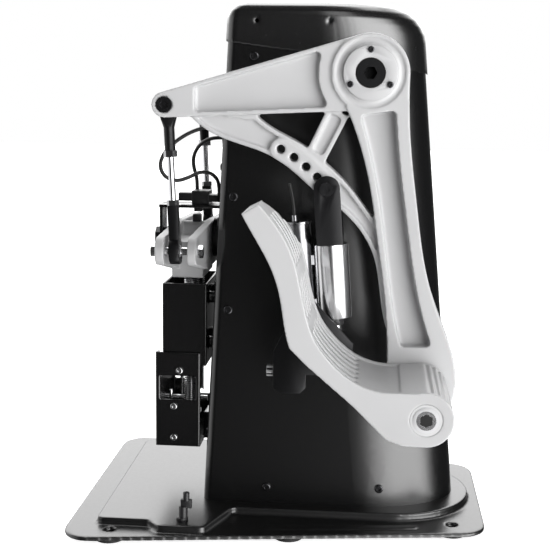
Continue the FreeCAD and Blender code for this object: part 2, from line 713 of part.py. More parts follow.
def turned_ring(half, bore, outer, crown):
    """A ring about the X axis; its outer or inner face is a ball's, as crown says."""
    rim = math.sqrt(crown ** 2 - half ** 2)
    inner = bore if bore is not None else rim
    top = outer if outer is not None else rim
    low_left, low_right = V(-half, 0, inner), V(half, 0, inner)
    high_left, high_right = V(-half, 0, top), V(half, 0, top)
    inside = Part.makeLine(low_left, low_right) if bore is not None else \
        Part.Arc(low_left, V(0, 0, crown), low_right).toShape()
    outside = Part.makeLine(high_left, high_right) if outer is not None else \
        Part.Arc(high_left, V(0, 0, crown), high_right).toShape()
    edges = [Part.makeLine(low_left, high_left), outside, Part.makeLine(high_right, low_right), inside]
    return Part.Face(Part.Wire(Part.__sortEdges__(edges))).revolve(V(0, 0, 0), X_AXIS, 360)


def make_rod_ball():
    """Ball with flat ends and a through bore, turned about the rocker's end bolt."""
    ball = turned_ring(ROD_BALL_WIDTH / 2, ROCKER_PIN_R + RUNNING, None, ROD_BALL_R)
    ball.translate(V(ROD_LOW_X, -ROCKER_REACH, ROCKER_Z))
    return ball


def make_rod_low_end():
    eye = turned_ring(4.0, None, ROD_EYE_R, ROD_BALL_R + BALL_GAP)
    shank = box(-4, 4, -4.5, 4.5, 9, 37)
    return place_on_rod(join(eye, shank).cut(rod_z(0, 0, ROD_R, 30, 40)))


def make_push_rod():
    length = rod_frame()[0]
    rod = rod_z(0, 0, ROD_R, 30, length - 30)
    nuts = [hexagon(8.5, 4.0, V(0, 0, 37), Z_AXIS), hexagon(9.5, 5.0, V(0, 0, length - 41), Z_AXIS)]
    return place_on_rod(join(rod, *nuts))


def make_rod_top_end():
    length = rod_frame()[0]
    eye = rod_y(0, length, 8.6, -4, 4)
    neck = Part.makeCone(4.2, 6.8, 9, V(0, 0, length - 18), Z_AXIS)
    neck = neck.common(box(-9, 9, -4, 4, 0, length))
    stem = rod_z(0, 0, 4.2, length - 36, length - 17)
    bridge = box(-5.5, 5.5, -4, 4, length - 12, length - 5)
    end = join(eye, neck, stem, bridge).cut(rod_y(0, length, TIP_BOLT_R + OPEN_PIVOT, -5, 5))
    return place_on_rod(end.cut(rod_z(0, 0, ROD_R, length - 40, length - 30)))


# ---- rudder arm -------------------------------------------------------------------------------
def prism(face, y0, y1):
    """A flat face in the XZ plane, standing between two Y planes."""
    face = face.copy()
    face.translate(V(0, y0, 0))
    return face.extrude(V(0, y1 - y0, 0))


def polygon_face(pairs):
    points = xz(*pairs)
    return Part.Face(Part.makePolygon(points + points[:1]))


def pocket(face, inset, y0, y1):
    """A recess with rounded corners inside a straight-sided face, between two Y planes."""
    return prism(face.makeOffset2D(-inset - POCKET_CORNER).makeOffset2D(POCKET_CORNER), y0, y1)


def shifted(points, distance):
    """An open line's points, each moved to the line's left by a distance."""
    moved = []
    for i, point in enumerate(points):
        run = (points[min(i + 1, len(points) - 1)] - points[max(i - 1, 0)]).normalize()
        moved.append(point + V(-run.z, 0, run.x) * distance)
    return moved


def rounded_prism(face, y0, y1):
    """A face between two Y planes, with the edges across the arm rounded."""
    solid = prism(face, y0, y1)
    across = [e for e in solid.Edges if abs(abs(e.tangentAt(e.FirstParameter).y) - 1) < 0.001]
    return solid.makeFillet(POCKET_CORNER, across)


def disc_face(x, z, radius):
    return Part.Face(Part.Wire(Part.makeCircle(radius, V(x, 0, z), Y_AXIS)))


def lever_face():
    top = math.atan2(HUB_R - TIP_R, math.hypot(HUB_X - TIP_X, HUB_Z - TIP_Z))
    line = math.atan2(HUB_Z - TIP_Z, HUB_X - TIP_X) + top
    nx, nz = -math.sin(line), math.cos(line)
    return polygon_face([(TIP_X, TIP_Z - TIP_R), (HUB_X - 8, TIP_Z - 2.5), (HUB_X, HUB_Z),
                         (HUB_X + HUB_R * nx, HUB_Z + HUB_R * nz), (TIP_X + TIP_R * nx, TIP_Z + TIP_R * nz)])


def lever_recess_face():
    """The lever's face between the tip's boss and an arc round the hub."""
    tip_side = polygon_face([(TIP_X + 20, 0), (HUB_X, 0), (HUB_X, 500), (TIP_X + 20, 500)])
    return lever_face().common(tip_side).cut(disc_face(HUB_X, HUB_Z, HUB_BOSS_R - RIB)).Faces[0]


def leg_face():
    left = xz((50, 352), (63, 318), (71, 285), (76.5, 250), (82, 215), (86, 175), (87, HEEL_Z))
    right = xz((HEEL_X + HEEL_BOSS_R, HEEL_Z), (138, 160), (126, 192), (115, 226), (107, 272), (100, 325),
               (HUB_X + HUB_R, HUB_Z))
    top = V(HUB_X, 0, HUB_Z)
    return outline_face([left, [left[-1], right[0]], right, [right[-1], top], [top, left[0]]])


def leg_recess_face():
    return outline_face([xz((61, 346), (70, 315), (79, 270), (86, 220), (97, 166)), xz((97, 166), (121, 167)),
                         xz((121, 167), (107, 215), (99, 262), (92, 310), (88, 350)),
                         xz((88, 350), (61, 346))])


def beam_face(inset):
    """Curved beam from the lever's underside, past the strut holes, down into the leg."""
    low = xz((-70, 342.5), (-45, 326.5), (-10, 314.5), (9, 302.5), (26, 288), (50, 270.5), (66, 252.5),
             (74.5, 235), (79, 212), (86, 178))
    high = xz((-19, 344), (-4, 333.5), (21, 320), (34, 309.5), (50, 295), (62, 280.5), (78, 260))
    low = shifted(low, inset)
    high = shifted(high, -inset)
    return outline_face([low, [low[-1], high[-1]], high, [high[0], low[0]]])


def brace_face():
    return polygon_face([(36, 352), (52, 345), (34, 309), (20, 318)])


def strut_holes():
    """Five holes along an arc of the beam; the strut hangs from the last."""
    holes = []
    for i in range(HOLE_COUNT):
        back = (HOLE_COUNT - 1 - i) * HOLE_PITCH
        turn = math.radians(HOLE_TURN - HOLE_TURN_STEP * (HOLE_COUNT - 1 - i))
        holes.append((STRUT_TOP_X - back * math.cos(turn), STRUT_TOP_Z + back * math.sin(turn)))
    return holes


def pad(half):
    """Raised strip round the strut holes, a given half thickness across the arm's plane."""
    pieces = []
    holes = strut_holes()
    for x, z in holes:
        pieces.append(rod_y(x, z, PAD_R, ARM_PLANE_Y - half, ARM_PLANE_Y + half))
    for (x0, z0), (x1, z1) in zip(holes, holes[1:]):
        run = math.hypot(x1 - x0, z1 - z0)
        nx, nz = -(z1 - z0) / run * PAD_R, (x1 - x0) / run * PAD_R
        pieces.append(polygon_xz([(x0 + nx, z0 + nz), (x1 + nx, z1 + nz), (x1 - nx, z1 - nz),
                                  (x0 - nx, z0 - nz)], ARM_PLANE_Y - half, ARM_PLANE_Y + half))
    return join(*pieces)


def make_arm():
    half = BEAM_THICKNESS / 2
    lever_out = ARM_OUT + LEVER_STEP
    beam_out, beam_in = ARM_PLANE_Y - half, ARM_PLANE_Y + half
    arm = join(rod_y(HUB_X, HUB_Z, HUB_R, ARM_OUT, ARM_IN), prism(lever_face(), lever_out, ARM_IN),
               rod_y(TIP_X, TIP_Z, TIP_R, lever_out, ARM_IN), prism(leg_face(), ARM_OUT, ARM_IN),
               rod_y(HEEL_X, HEEL_Z, HEEL_BOSS_R, ARM_OUT, ARM_IN), prism(beam_face(0), beam_out, beam_in),
               prism(brace_face(), beam_out, beam_in), pad(half + PAD_PROUD))
    arm = arm.cut(pocket(lever_recess_face(), RIB, lever_out - 1, lever_out + LEVER_DEPTH))
    arm = arm.cut(pocket(lever_recess_face(), RIB, ARM_IN - LEVER_DEPTH, ARM_IN + 1))
    arm = arm.cut(rounded_prism(leg_recess_face(), ARM_OUT - 1, ARM_OUT + LEG_DEPTH_OUT))
    arm = arm.cut(rounded_prism(leg_recess_face(), ARM_IN - LEG_DEPTH_IN, ARM_IN + 1))
    kept = join(prism(leg_face(), ARM_OUT, ARM_IN), prism(lever_face(), ARM_OUT, ARM_IN))
    for y0, y1 in ((beam_out - 1, beam_out + CHANNEL_DEPTH), (beam_in - CHANNEL_DEPTH, beam_in + 1)):
        channel = prism(beam_face(RIB), y0, y1).cut(pad(half + PAD_PROUD)).cut(kept)
        arm = arm.cut(channel)
        arm = arm.cut(pocket(brace_face(), RIB, y0, y1).cut(pad(half + PAD_PROUD)).cut(kept))
    groove = rod_y(HUB_X, HUB_Z, HUB_GROOVE_OUT, ARM_OUT - 1, ARM_OUT + HUB_GROOVE)
    arm = arm.cut(groove.cut(rod_y(HUB_X, HUB_Z, HUB_GROOVE_IN, ARM_OUT - 2, ARM_OUT + 2)))
    arm = arm.cut(rod_y(HUB_X, HUB_Z, BEARING_R, ARM_OUT - 1, ARM_IN + 1))
    slot_y = TIP_SLOT / 2
    arm = arm.cut(box(TIP_X - 20, TIP_X + 17, ARM_PLANE_Y - slot_y, ARM_PLANE_Y + slot_y,
                      TIP_Z - 20, TIP_Z + 20))
    arm = arm.cut(rod_y(TIP_X, TIP_Z, TIP_BOLT_R, ARM_OUT - 1, ARM_IN + 1))
    arm = arm.cut(rod_y(TIP_X, TIP_Z, TIP_HEAD_R + 0.2, ARM_OUT - 1, lever_out + TIP_SINK))
    arm = arm.cut(rod_y(HEEL_X, HEEL_Z, PIN_R, ARM_OUT - 1, ARM_IN + 1))
    for x, z in strut_holes():
        arm = arm.cut(rod_y(x, z, STRUT_PIN_R - 0.5, ARM_OUT - 1, ARM_IN + 1))
    return arm


def make_hub_bearing():
    ring = rod_y(HUB_X, HUB_Z, BEARING_R, ARM_OUT, ARM_IN)
    return ring.cut(rod_y(HUB_X, HUB_Z, SHAFT_R + RUNNING, ARM_OUT - 1, ARM_IN + 1))


def hub_screw_places():
    turns = [math.radians(a) for a in (90, 210, 330)]
    return [(HUB_X + HUB_SCREW_CIRCLE * math.cos(a), HUB_Z + HUB_SCREW_CIRCLE * math.sin(a)) for a in turns]


def make_hub_cap():
    cap = rod_y(HUB_X, HUB_Z, HUB_CAP_R, ARM_OUT - HUB_CAP, ARM_OUT)
    cap = cap.cut(rod_y(HUB_X, HUB_Z, SHAFT_R + HUB_CAP_HOLE, ARM_OUT - 10, ARM_OUT + 1))
    for x, z in hub_screw_places():
        cap = cap.cut(rod_y(x, z, 1.5, ARM_OUT - 10, ARM_OUT + 1))
    return cap


def make_arm_screws():
    """Hub cap screws, the lever tip's bolt and the strut's top pin."""
    out = V(0, -1, 0)
    pieces = []
    for x, z in hub_screw_places():
        pieces.append(button_screw(V(x, ARM_OUT - HUB_CAP, z), out, 2.5, 1.6, 1.5, HUB_CAP))
    lever_out = ARM_OUT + LEVER_STEP
    tip = rod_y(TIP_X, TIP_Z, TIP_BOLT_R, lever_out + 1, ARM_IN)
    head = rod_y(TIP_X, TIP_Z, TIP_HEAD_R, lever_out - 0.8, lever_out + TIP_SINK)
    head = head.cut(hexagon(6.0, 2.4, V(TIP_X, lever_out - 0.8, TIP_Z), Y_AXIS))
    pieces.append(join(tip, head))
    half = BEAM_THICKNESS / 2 + PAD_PROUD + 0.6 + CLEVIS_PLATE
    y0 = ARM_PLANE_Y - half
    y1 = ARM_PLANE_Y + half
    pin = rod_y(STRUT_TOP_X, STRUT_TOP_Z, STRUT_PIN_R - 0.5, y0, y1)
    near = rod_y(STRUT_TOP_X, STRUT_TOP_Z, 5.6, y0 - 2.6, y0 - 0.3)
    near = near.cut(hexagon(5.0, 1.6, V(STRUT_TOP_X, y0 - 2.6, STRUT_TOP_Z), Y_AXIS))
    far = rod_y(STRUT_TOP_X, STRUT_TOP_Z, 5.6, y1 + 0.3, y1 + 2.6)
    links = [rod_y(STRUT_TOP_X, STRUT_TOP_Z, STRUT_PIN_R - 0.5, y0 - 1.0, y0),
             rod_y(STRUT_TOP_X, STRUT_TOP_Z, STRUT_PIN_R - 0.5, y1, y1 + 1.0)]
    pieces.append(join(pin, near, far, *links))
    return group(pieces)


def make_pedal_pin():
    pin = rod_y(HEEL_X, HEEL_Z, PIN_R, PEDAL_OUT - 1, ARM_IN)
    washer = rod_y(HEEL_X, HEEL_Z, PEDAL_BUSH_R, PEDAL_IN + 0.4, ARM_OUT)
    return join(pin, washer).cut(hexagon(8.0, 7.0, V(HEEL_X, PEDAL_OUT - 1, HEEL_Z), Y_AXIS))


# ---- pedal ------------------------------------------------------------------------------------
def pedal_front(shift):
    """The foot surface's curve in side view, toe first, moved back and down by shift."""
    points = ((-7, 286), (3, 274.5), (12, 261), (18.5, 246), (23, 228), (28, 206), (34.5, 189), (46, 174),
              (61, 161.5), (78, 155), (96, 154), (HEEL_X, HEEL_Z + HEEL_R))
    return xz(*[(x - shift, z - shift) for x, z in points])


def pedal_back():
    return xz((-19, 279), (-7, 258), (2.5, 240), (8.5, 221), (12, 200), (16, 184))


def pedal_side():
    front = pedal_front(0)
    back = pedal_back()
    low = xz((16, 184), (27, 173), (61, 144), (86, 119.5), (97, 115.6), (HEEL_X, HEEL_Z - HEEL_R))
    runs = [front, [front[-1], low[-1]], [low[-1], low[-2]], [low[-2], low[-3]], [low[-3], low[-4]],
            [low[-4], low[-5]], [low[-5], low[-6]], back, [back[0], front[0]]]
    return runs


def front_band(depth, y0, y1):
    """The skin of the foot surface, to a depth, between two Y planes."""
    front = pedal_front(-3.0)[:-1]
    deep = pedal_front(depth)[:-1]
    return slab([front, [front[-1], deep[-1]], deep, [deep[0], front[0]]], y0, y1)


def toe_corner():
    """The rounded inner corner that the toe loses, as an outline in Y and Z through the pedal."""
    return polygon_yz([(PEDAL_IN + 1, 234), (PEDAL_IN - 3, 246), (PEDAL_IN - 12, 260), (PEDAL_IN - 26, 272),
                       (PEDAL_IN - 44, 281), (PEDAL_IN - 64, 288), (PEDAL_IN - 64, 320), (PEDAL_IN + 1, 320)],
                      -60, 60)


def foot_grooves():
    """The grooves of the three foot panels, between the rims and clear of the smooth heel."""
    deep = front_band(RIM_HEIGHT + GROOVE_DEPTH, PEDAL_OUT, PEDAL_IN)
    pitch = (PEDAL_WIDTH - 2 * RIM_WIDTH) / GROOVE_COUNT
    grooves = []
    for z0, z1 in PANEL_HEIGHTS:
        for i in range(GROOVE_COUNT):
            y = PEDAL_OUT + RIM_WIDTH + pitch * (i + 0.5)
            stretch = box(-60, PANEL_END_X, y - GROOVE_WIDTH / 2, y + GROOVE_WIDTH / 2, z0, z1)
            grooves.append(deep.common(stretch))
    return grooves


def barrel_grooves():
    """Round-bottomed grooves along the heel barrel."""
    grooves = []
    for turn in BARREL_GROOVE_TURNS:
        x = HEEL_X + HEEL_R * math.cos(math.radians(turn))
        z = HEEL_Z + HEEL_R * math.sin(math.radians(turn))
        grooves.append(rod_y(x, z, BARREL_GROOVE_R, PEDAL_OUT + 3, PEDAL_IN - 3))
    return grooves


def make_pedal():
    body = join(slab(pedal_side(), PEDAL_OUT, PEDAL_IN), rod_y(HEEL_X, HEEL_Z, HEEL_R, PEDAL_OUT, PEDAL_IN))
    inside = pedal_front(FOOT_PLATE)[:-2]
    hollow = slab([inside, [inside[-1], V(80, 0, 100)], [V(80, 0, 100), V(-60, 0, 100)],
                   [V(-60, 0, 100), V(-60, 0, inside[0].z)], [V(-60, 0, inside[0].z), inside[0]]],
                  PEDAL_OUT + CHEEK, PEDAL_IN - CHEEK)
    hollow = hollow.cut(rod_y(HEEL_X, HEEL_Z, HEEL_R + 6, PEDAL_OUT, PEDAL_IN))
    toe_wall = polygon_xz([(-40, 300), (-8, 300), (-8, 275), (-22, 268)], PEDAL_OUT, PEDAL_IN)
    body = body.cut(hollow.cut(toe_wall))
    body = body.cut(front_band(RIM_HEIGHT, PEDAL_OUT + RIM_WIDTH, PEDAL_IN - RIM_WIDTH))
    for groove in foot_grooves() + barrel_grooves():
        body = body.cut(groove)
    body = body.cut(toe_corner())
    return body.cut(rod_y(HEEL_X, HEEL_Z, PEDAL_BUSH_R, PEDAL_OUT - 1, PEDAL_IN + 1))


def make_pedal_bushes():
    bushes = []
    for y0 in (PEDAL_OUT, PEDAL_IN - 20):
        ring = rod_y(HEEL_X, HEEL_Z, PEDAL_BUSH_R, y0, y0 + 20)
        bushes.append(ring.cut(rod_y(HEEL_X, HEEL_Z, PIN_R + RUNNING, y0 - 1, y0 + 21)))
    return group(bushes)


def make_link_bracket():
    """Steel bracket on the pedal's inboard cheek, with the strut's stud and the stop bolt in its tab."""
    face = PEDAL_IN
    plate = polygon_xz([(14, 196), (26, 204), (60, 168), (58, 146), (40, 142), (23, 142), (23, 131),
                        (18.5, 126.5), (2, 126.5), (-3, 131), (-3, 160), (6, 178)],
                       face, face + BRACKET_SHEET)
    stud = rod_y(STRUT_LOW_X, STRUT_LOW_Z, STRUT_ROD_R, face + 2.5, ARM_PLANE_Y + 8)
    boss = rod_y(STRUT_LOW_X, STRUT_LOW_Z, 8.0, face + 2.5, ARM_PLANE_Y - 5.2)
    keeper = rod_y(STRUT_LOW_X, STRUT_LOW_Z, 7.0, ARM_PLANE_Y + 5.2, ARM_PLANE_Y + 8)
    tab = box(-3, 0, face, face + 16, 131, 154)
    bolt = rod_x(face + 9, 142.5, 2.6, -6, 12)
    head = hexagon(8.0, 5.6, V(-3, face + 9, 142.5), V(-1, 0, 0))
    return join(plate, stud, boss, keeper, tab, bolt, head)


# ---- brake strut ------------------------------------------------------------------------------
def strut_lean():
    return math.degrees(math.atan2(STRUT_LOW_X - STRUT_TOP_X, STRUT_TOP_Z - STRUT_LOW_Z))


def strut_length():
    return math.hypot(STRUT_LOW_X - STRUT_TOP_X, STRUT_TOP_Z - STRUT_LOW_Z)


def place_on_strut(shape):
    """Moves a shape drawn down the Z axis from the origin onto the left brake strut."""
    shape = shape.copy()
    shape.rotate(V(0, 0, 0), Y_AXIS, -strut_lean())
    shape.translate(V(STRUT_TOP_X, ARM_PLANE_Y, STRUT_TOP_Z))
    return shape


def make_strut_clevis():
    inner = BEAM_THICKNESS / 2 + PAD_PROUD + 0.6
    outer = inner + CLEVIS_PLATE
    half = CLEVIS_WIDTH / 2
    plates = []
    for y0, y1 in ((-outer, -inner), (inner, outer)):
        plates.append(box(-half, half, y0, y1, -STRUT_BODY_TOP, 0))
        plates.append(rod_y(0, 0, half, y0, y1))
    bridge = box(-half, half, -outer, outer, -STRUT_BODY_TOP, -STRUT_BODY_TOP + 5)
    clevis = join(bridge, *plates)
    return place_on_strut(clevis.cut(rod_y(0, 0, STRUT_PIN_R - 0.5 + RUNNING, -outer - 1, outer + 1)))


def make_strut_cylinder():
    bottom = -STRUT_BODY_TOP - STRUT_BODY_LENGTH
    tube = rod_z(0, 0, STRUT_R, bottom, -STRUT_BODY_TOP)
    tube = tube.cut(rod_z(0, 0, STRUT_R - 2.4, bottom + 6, -STRUT_BODY_TOP - 5))
    return place_on_strut(tube.cut(rod_z(0, 0, STRUT_ROD_R + RUNNING, bottom - 1, bottom + 7)))


def make_strut_rod():
    """Pull rod with its piston inside the cylinder, the lock nut and the eye on the pedal's stud."""
    bottom = -STRUT_BODY_TOP - STRUT_BODY_LENGTH
    length = strut_length()
    rod = rod_z(0, 0, STRUT_ROD_R, -length + 6, bottom + 34)
    piston = rod_z(0, 0, STRUT_R - 2.4 - 0.4, bottom + 30, bottom + 36)
    nut = hexagon(12.0, 5.0, V(0, 0, bottom - 6.4), Z_AXIS)
    collar = rod_z(0, 0, 5.2, bottom - 14, bottom - 6.4)
    eye = rod_y(0, -length, 9.5, -4.5, 4.5)
    arm = box(-SENSOR_OFFSET - 4, 0, -3.0, 3.0, bottom - 18, bottom - 14)
    plunger = rod_z(-SENSOR_OFFSET, 0, 2.4, bottom - 18, bottom + 24)
    whole = join(rod, piston, nut, collar, eye, arm, plunger)
    return place_on_strut(whole.cut(rod_y(0, -length, STRUT_ROD_R + STRUT_PIVOT, -6, 6)))


def make_brake_sensor():
    """Slim position sensor strapped beside the strut, with its top flange and lead gland."""
    top = -27.0
    bottom = -STRUT_BODY_TOP - STRUT_BODY_LENGTH
    x = -SENSOR_OFFSET
    body = rod_z(x, 0, SENSOR_R, bottom, top)
    flange = rod_z(x, 0, SENSOR_R + 0.8, top, top + 2.2)
    gland = rod_z(x - 3, 0, 2.2, top + 2.2, top + 7)
    strap = box(x, 0, -5, 5, bottom + 8, bottom + 16)
    strap_high = box(x, 0, -5, 5, -STRUT_BODY_TOP - 16, -STRUT_BODY_TOP - 8)
    shell = join(body, flange, gland, strap, strap_high)
    shell = shell.cut(rod_z(0, 0, STRUT_R, bottom - 1, -STRUT_BODY_TOP))
    shell = shell.cut(rod_z(x, 0, 2.4 + RUNNING, bottom - 1, bottom + 30))
    return place_on_strut(shell)


def make_sensor_lead():
    """Thin lead from the brake sensor up to the beam's underside."""
    x = -SENSOR_OFFSET - 3
    start = V(x, 0, -20)
    points = [start, V(x, 0, -12), V(x - 0.8, 0, -3), V(x - 2.4, 0, 5)]
    return place_on_strut(rounded_tube(points, 1.2))


# ---- cords ------------------------------------------------------------------------------------
def arc_reach(before, corner, after):
    """How far from a corner its arc starts: 0.45 of the shorter of the two runs."""
    return 0.45 * min((corner - before).Length, (after - corner).Length)


def rounded_tube(points, radius):
    """A round tube along straight runs that tangent arcs join."""
    edges = []
    last = points[0]
    for before, corner, after in zip(points, points[1:], points[2:]):
        reach = arc_reach(before, corner, after)
        into = (corner - before).normalize()
        away = (after - corner).normalize()
        enter = corner - into * reach
        leave = corner + away * reach
        half_turn = into.getAngle(away) / 2
        arc_radius = reach / math.tan(half_turn)
        middle_way = (away - into).normalize()
        middle = corner + middle_way * (arc_radius / math.cos(half_turn) - arc_radius)
        edges.append(Part.LineSegment(last, enter).toShape())
        edges.append(Part.Arc(enter, middle, leave).toShape())
        last = leave
    edges.append(Part.LineSegment(last, points[-1]).toShape())
    path = Part.Wire(edges)
    start = (points[1] - points[0]).normalize()
    section = Part.Wire(Part.makeCircle(radius, points[0], start))
    return path.makePipeShell([section], True, False)


def cord_radii(points):
    radii = []
    for before, corner, after in zip(points, points[1:], points[2:]):
        half_turn = (corner - before).getAngle(after - corner) / 2
        radii.append(arc_reach(before, corner, after) / math.tan(half_turn))
    return radii


def make_cord(name, route):
    points = [V(*p) for p in route]
    tube = rounded_tube(points, CORD_R)
    print(name, "radii", [round(r, 1) for r in cord_radii(points)],
          "length", round(tube.Volume / (math.pi * CORD_R ** 2), 1))
    return tube


def make_cable_grommet():
    x = tower_rear_x(326)
    ring = rod_x(-14, 326, 7.0, x - 0.5, x + 4)
    lip = rod_x(-14, 326, 9.5, x - 4, x + 1)
    body = join(ring, lip.cut(tower_solid(0, FLOOR_Z, TOWER_HEIGHT)))
    for route in (LONG_LOOP, SHORT_LOOP):
        start = V(*route[0])
        body = body.cut(Part.makeCylinder(CORD_R + 0.3, 30, start - (V(*route[1]) - start).normalize() * 10,
                                          V(*route[1]) - start))
    return body


# ---- output -----------------------------------------------------------------------------------
def as_solids(shape):
    """The shape if it is one solid, or a plain group of its solids."""
    solids = shape.Solids
    return solids[0] if len(solids) == 1 else Part.makeCompound(solids)


def write(name, shape):
    shape = as_solids(shape)
    if not shape.isValid():
        print("not valid:", name)
    shape.exportStep("parts/%s.step" % name)


def write_pair(name, left_shape):
    left_shape = as_solids(left_shape)
    write("left_" + name, left_shape)
    write("right_" + name, left_shape.mirror(V(0, 0, 0), Y_AXIS))


def main():
    os.makedirs("parts", exist_ok=True)
    write("base_plate", make_base_plate())
    write("rubber_feet", make_rubber_feet())
    write("plate_thumbscrew", make_plate_thumbscrew())
    write("tower_shell", make_tower_shell())
    write("rear_panel", make_rear_panel())
    write("tower_cap", make_tower_cap())
    write("tower_screws", make_tower_screws())
    write("frame_sides", make_frame_sides())
    write("frame_crossbars", make_frame_crossbars())
    write("main_shaft", make_main_shaft())
    write("circuit_board", make_circuit_board())
    write("usb_inlet", make_usb_inlet())
    write("pivot_housing", make_pivot_housing())
    write("axle_bridge", make_axle_bridge())
    write("rocker_axle", make_rocker_axle())
    write("rudder_sensor", make_rudder_sensor())
    write("spring_channel", make_spring_channel())
    write("anchor_box", make_anchor_box())
    write("spring_anchors", make_spring_anchors())
    write("centring_springs", group([make_spring(-1), make_spring(1)]))
    write("rocker", make_rocker())
    write("rocker_pins", make_rocker_pins())
    write("magnet_holder", make_magnet_holder())
    write("cable_grommet", make_cable_grommet())
    write("long_cable", make_cord("long_cable", LONG_LOOP))
    write("short_cable", make_cord("short_cable", SHORT_LOOP))
    write_pair("arm", make_arm())
    write_pair("hub_bearing", make_hub_bearing())
    write_pair("hub_cap", make_hub_cap())
    write_pair("arm_screws", make_arm_screws())
    write_pair("pedal_pin", make_pedal_pin())
    write_pair("pedal", make_pedal())
    write_pair("pedal_bushes", make_pedal_bushes())
    write_pair("link_bracket", make_link_bracket())
    write_pair("strut_clevis", make_strut_clevis())
    write_pair("strut_cylinder", make_strut_cylinder())
    write_pair("strut_rod", make_strut_rod())
    write_pair("brake_sensor", make_brake_sensor())
    write_pair("sensor_lead", make_sensor_lead())
    write_pair("rod_ball", make_rod_ball())
    write_pair("rod_low_end", make_rod_low_end())
    write_pair("push_rod", make_push_rod())
    write_pair("rod_top_end", make_rod_top_end())


main()
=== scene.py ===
"""Looks of a suspended rudder pedal unit: tower, swinging arms, toe-brake pedals and rear linkage.

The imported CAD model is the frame. Each class below dresses one sub-assembly: it gives castings and the
stamped plate their soft skin, eases the edges of machined pieces, winds the centring springs, lays the
cables, and gives every piece its finish.
"""

import json
import logging
import math
from dataclasses import dataclass, field
from enum import Enum
from typing import ClassVar, Iterable, Optional, Sequence

import bmesh
import bpy
from mathutils import Matrix, Vector

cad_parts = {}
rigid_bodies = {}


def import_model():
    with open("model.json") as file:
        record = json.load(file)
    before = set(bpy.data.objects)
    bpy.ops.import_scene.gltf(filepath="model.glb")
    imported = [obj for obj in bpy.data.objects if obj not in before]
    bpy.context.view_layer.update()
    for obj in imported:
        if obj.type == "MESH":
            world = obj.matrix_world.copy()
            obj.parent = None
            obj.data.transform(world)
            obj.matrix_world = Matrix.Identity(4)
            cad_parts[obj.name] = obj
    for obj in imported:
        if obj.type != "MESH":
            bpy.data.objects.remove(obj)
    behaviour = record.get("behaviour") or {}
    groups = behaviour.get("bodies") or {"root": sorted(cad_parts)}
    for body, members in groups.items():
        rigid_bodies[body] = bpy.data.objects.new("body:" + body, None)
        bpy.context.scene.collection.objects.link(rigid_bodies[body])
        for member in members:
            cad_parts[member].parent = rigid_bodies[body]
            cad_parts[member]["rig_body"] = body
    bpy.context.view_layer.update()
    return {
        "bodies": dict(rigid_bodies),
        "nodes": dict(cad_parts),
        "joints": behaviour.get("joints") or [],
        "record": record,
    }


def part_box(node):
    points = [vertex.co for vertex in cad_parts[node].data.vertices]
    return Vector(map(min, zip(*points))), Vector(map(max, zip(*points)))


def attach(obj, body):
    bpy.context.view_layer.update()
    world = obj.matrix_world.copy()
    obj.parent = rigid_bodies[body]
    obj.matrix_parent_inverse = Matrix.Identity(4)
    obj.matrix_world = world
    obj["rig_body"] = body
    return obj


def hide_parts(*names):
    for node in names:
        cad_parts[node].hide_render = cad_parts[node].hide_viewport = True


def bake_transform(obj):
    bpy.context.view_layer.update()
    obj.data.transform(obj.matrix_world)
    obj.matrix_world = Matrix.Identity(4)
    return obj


LOG = logging.getLogger("rudder_pedals")
MM = 0.001
SHARP_ANGLE = 32.0
CAST_SHARP_ANGLE = 60.0
EASED_ANGLE = 34.0
EASED_SEGMENTS = 2
MERGE_DISTANCE = 0.004
FLAT_ANGLE = 0.4


class Side(Enum):
    """The two mirrored halves of the unit, by the user's hand, with the sign of Y."""

    LEFT = ("left", -1)
    RIGHT = ("right", 1)

    @property
    def label(self) -> str:
        """The side's name, as the frame's nodes start."""
        return self.value[0]

    @property
    def sign(self) -> int:
        """The sign of Y on this side."""
        return self.value[1]


class Grain(Enum):
    """How a metal's machining marks run."""

    NONE = (1.0, 1.0, 1.0)
    ALONG_Z = (1.0, 1.0, 0.03)


# ---- finishes ---------------------------------------------------------------------------------


def shader_socket(shader: bpy.types.Node, name: str, value: object) -> None:
    """Sets a constant on a shader's own socket."""
    shader.inputs[name].default_value = value


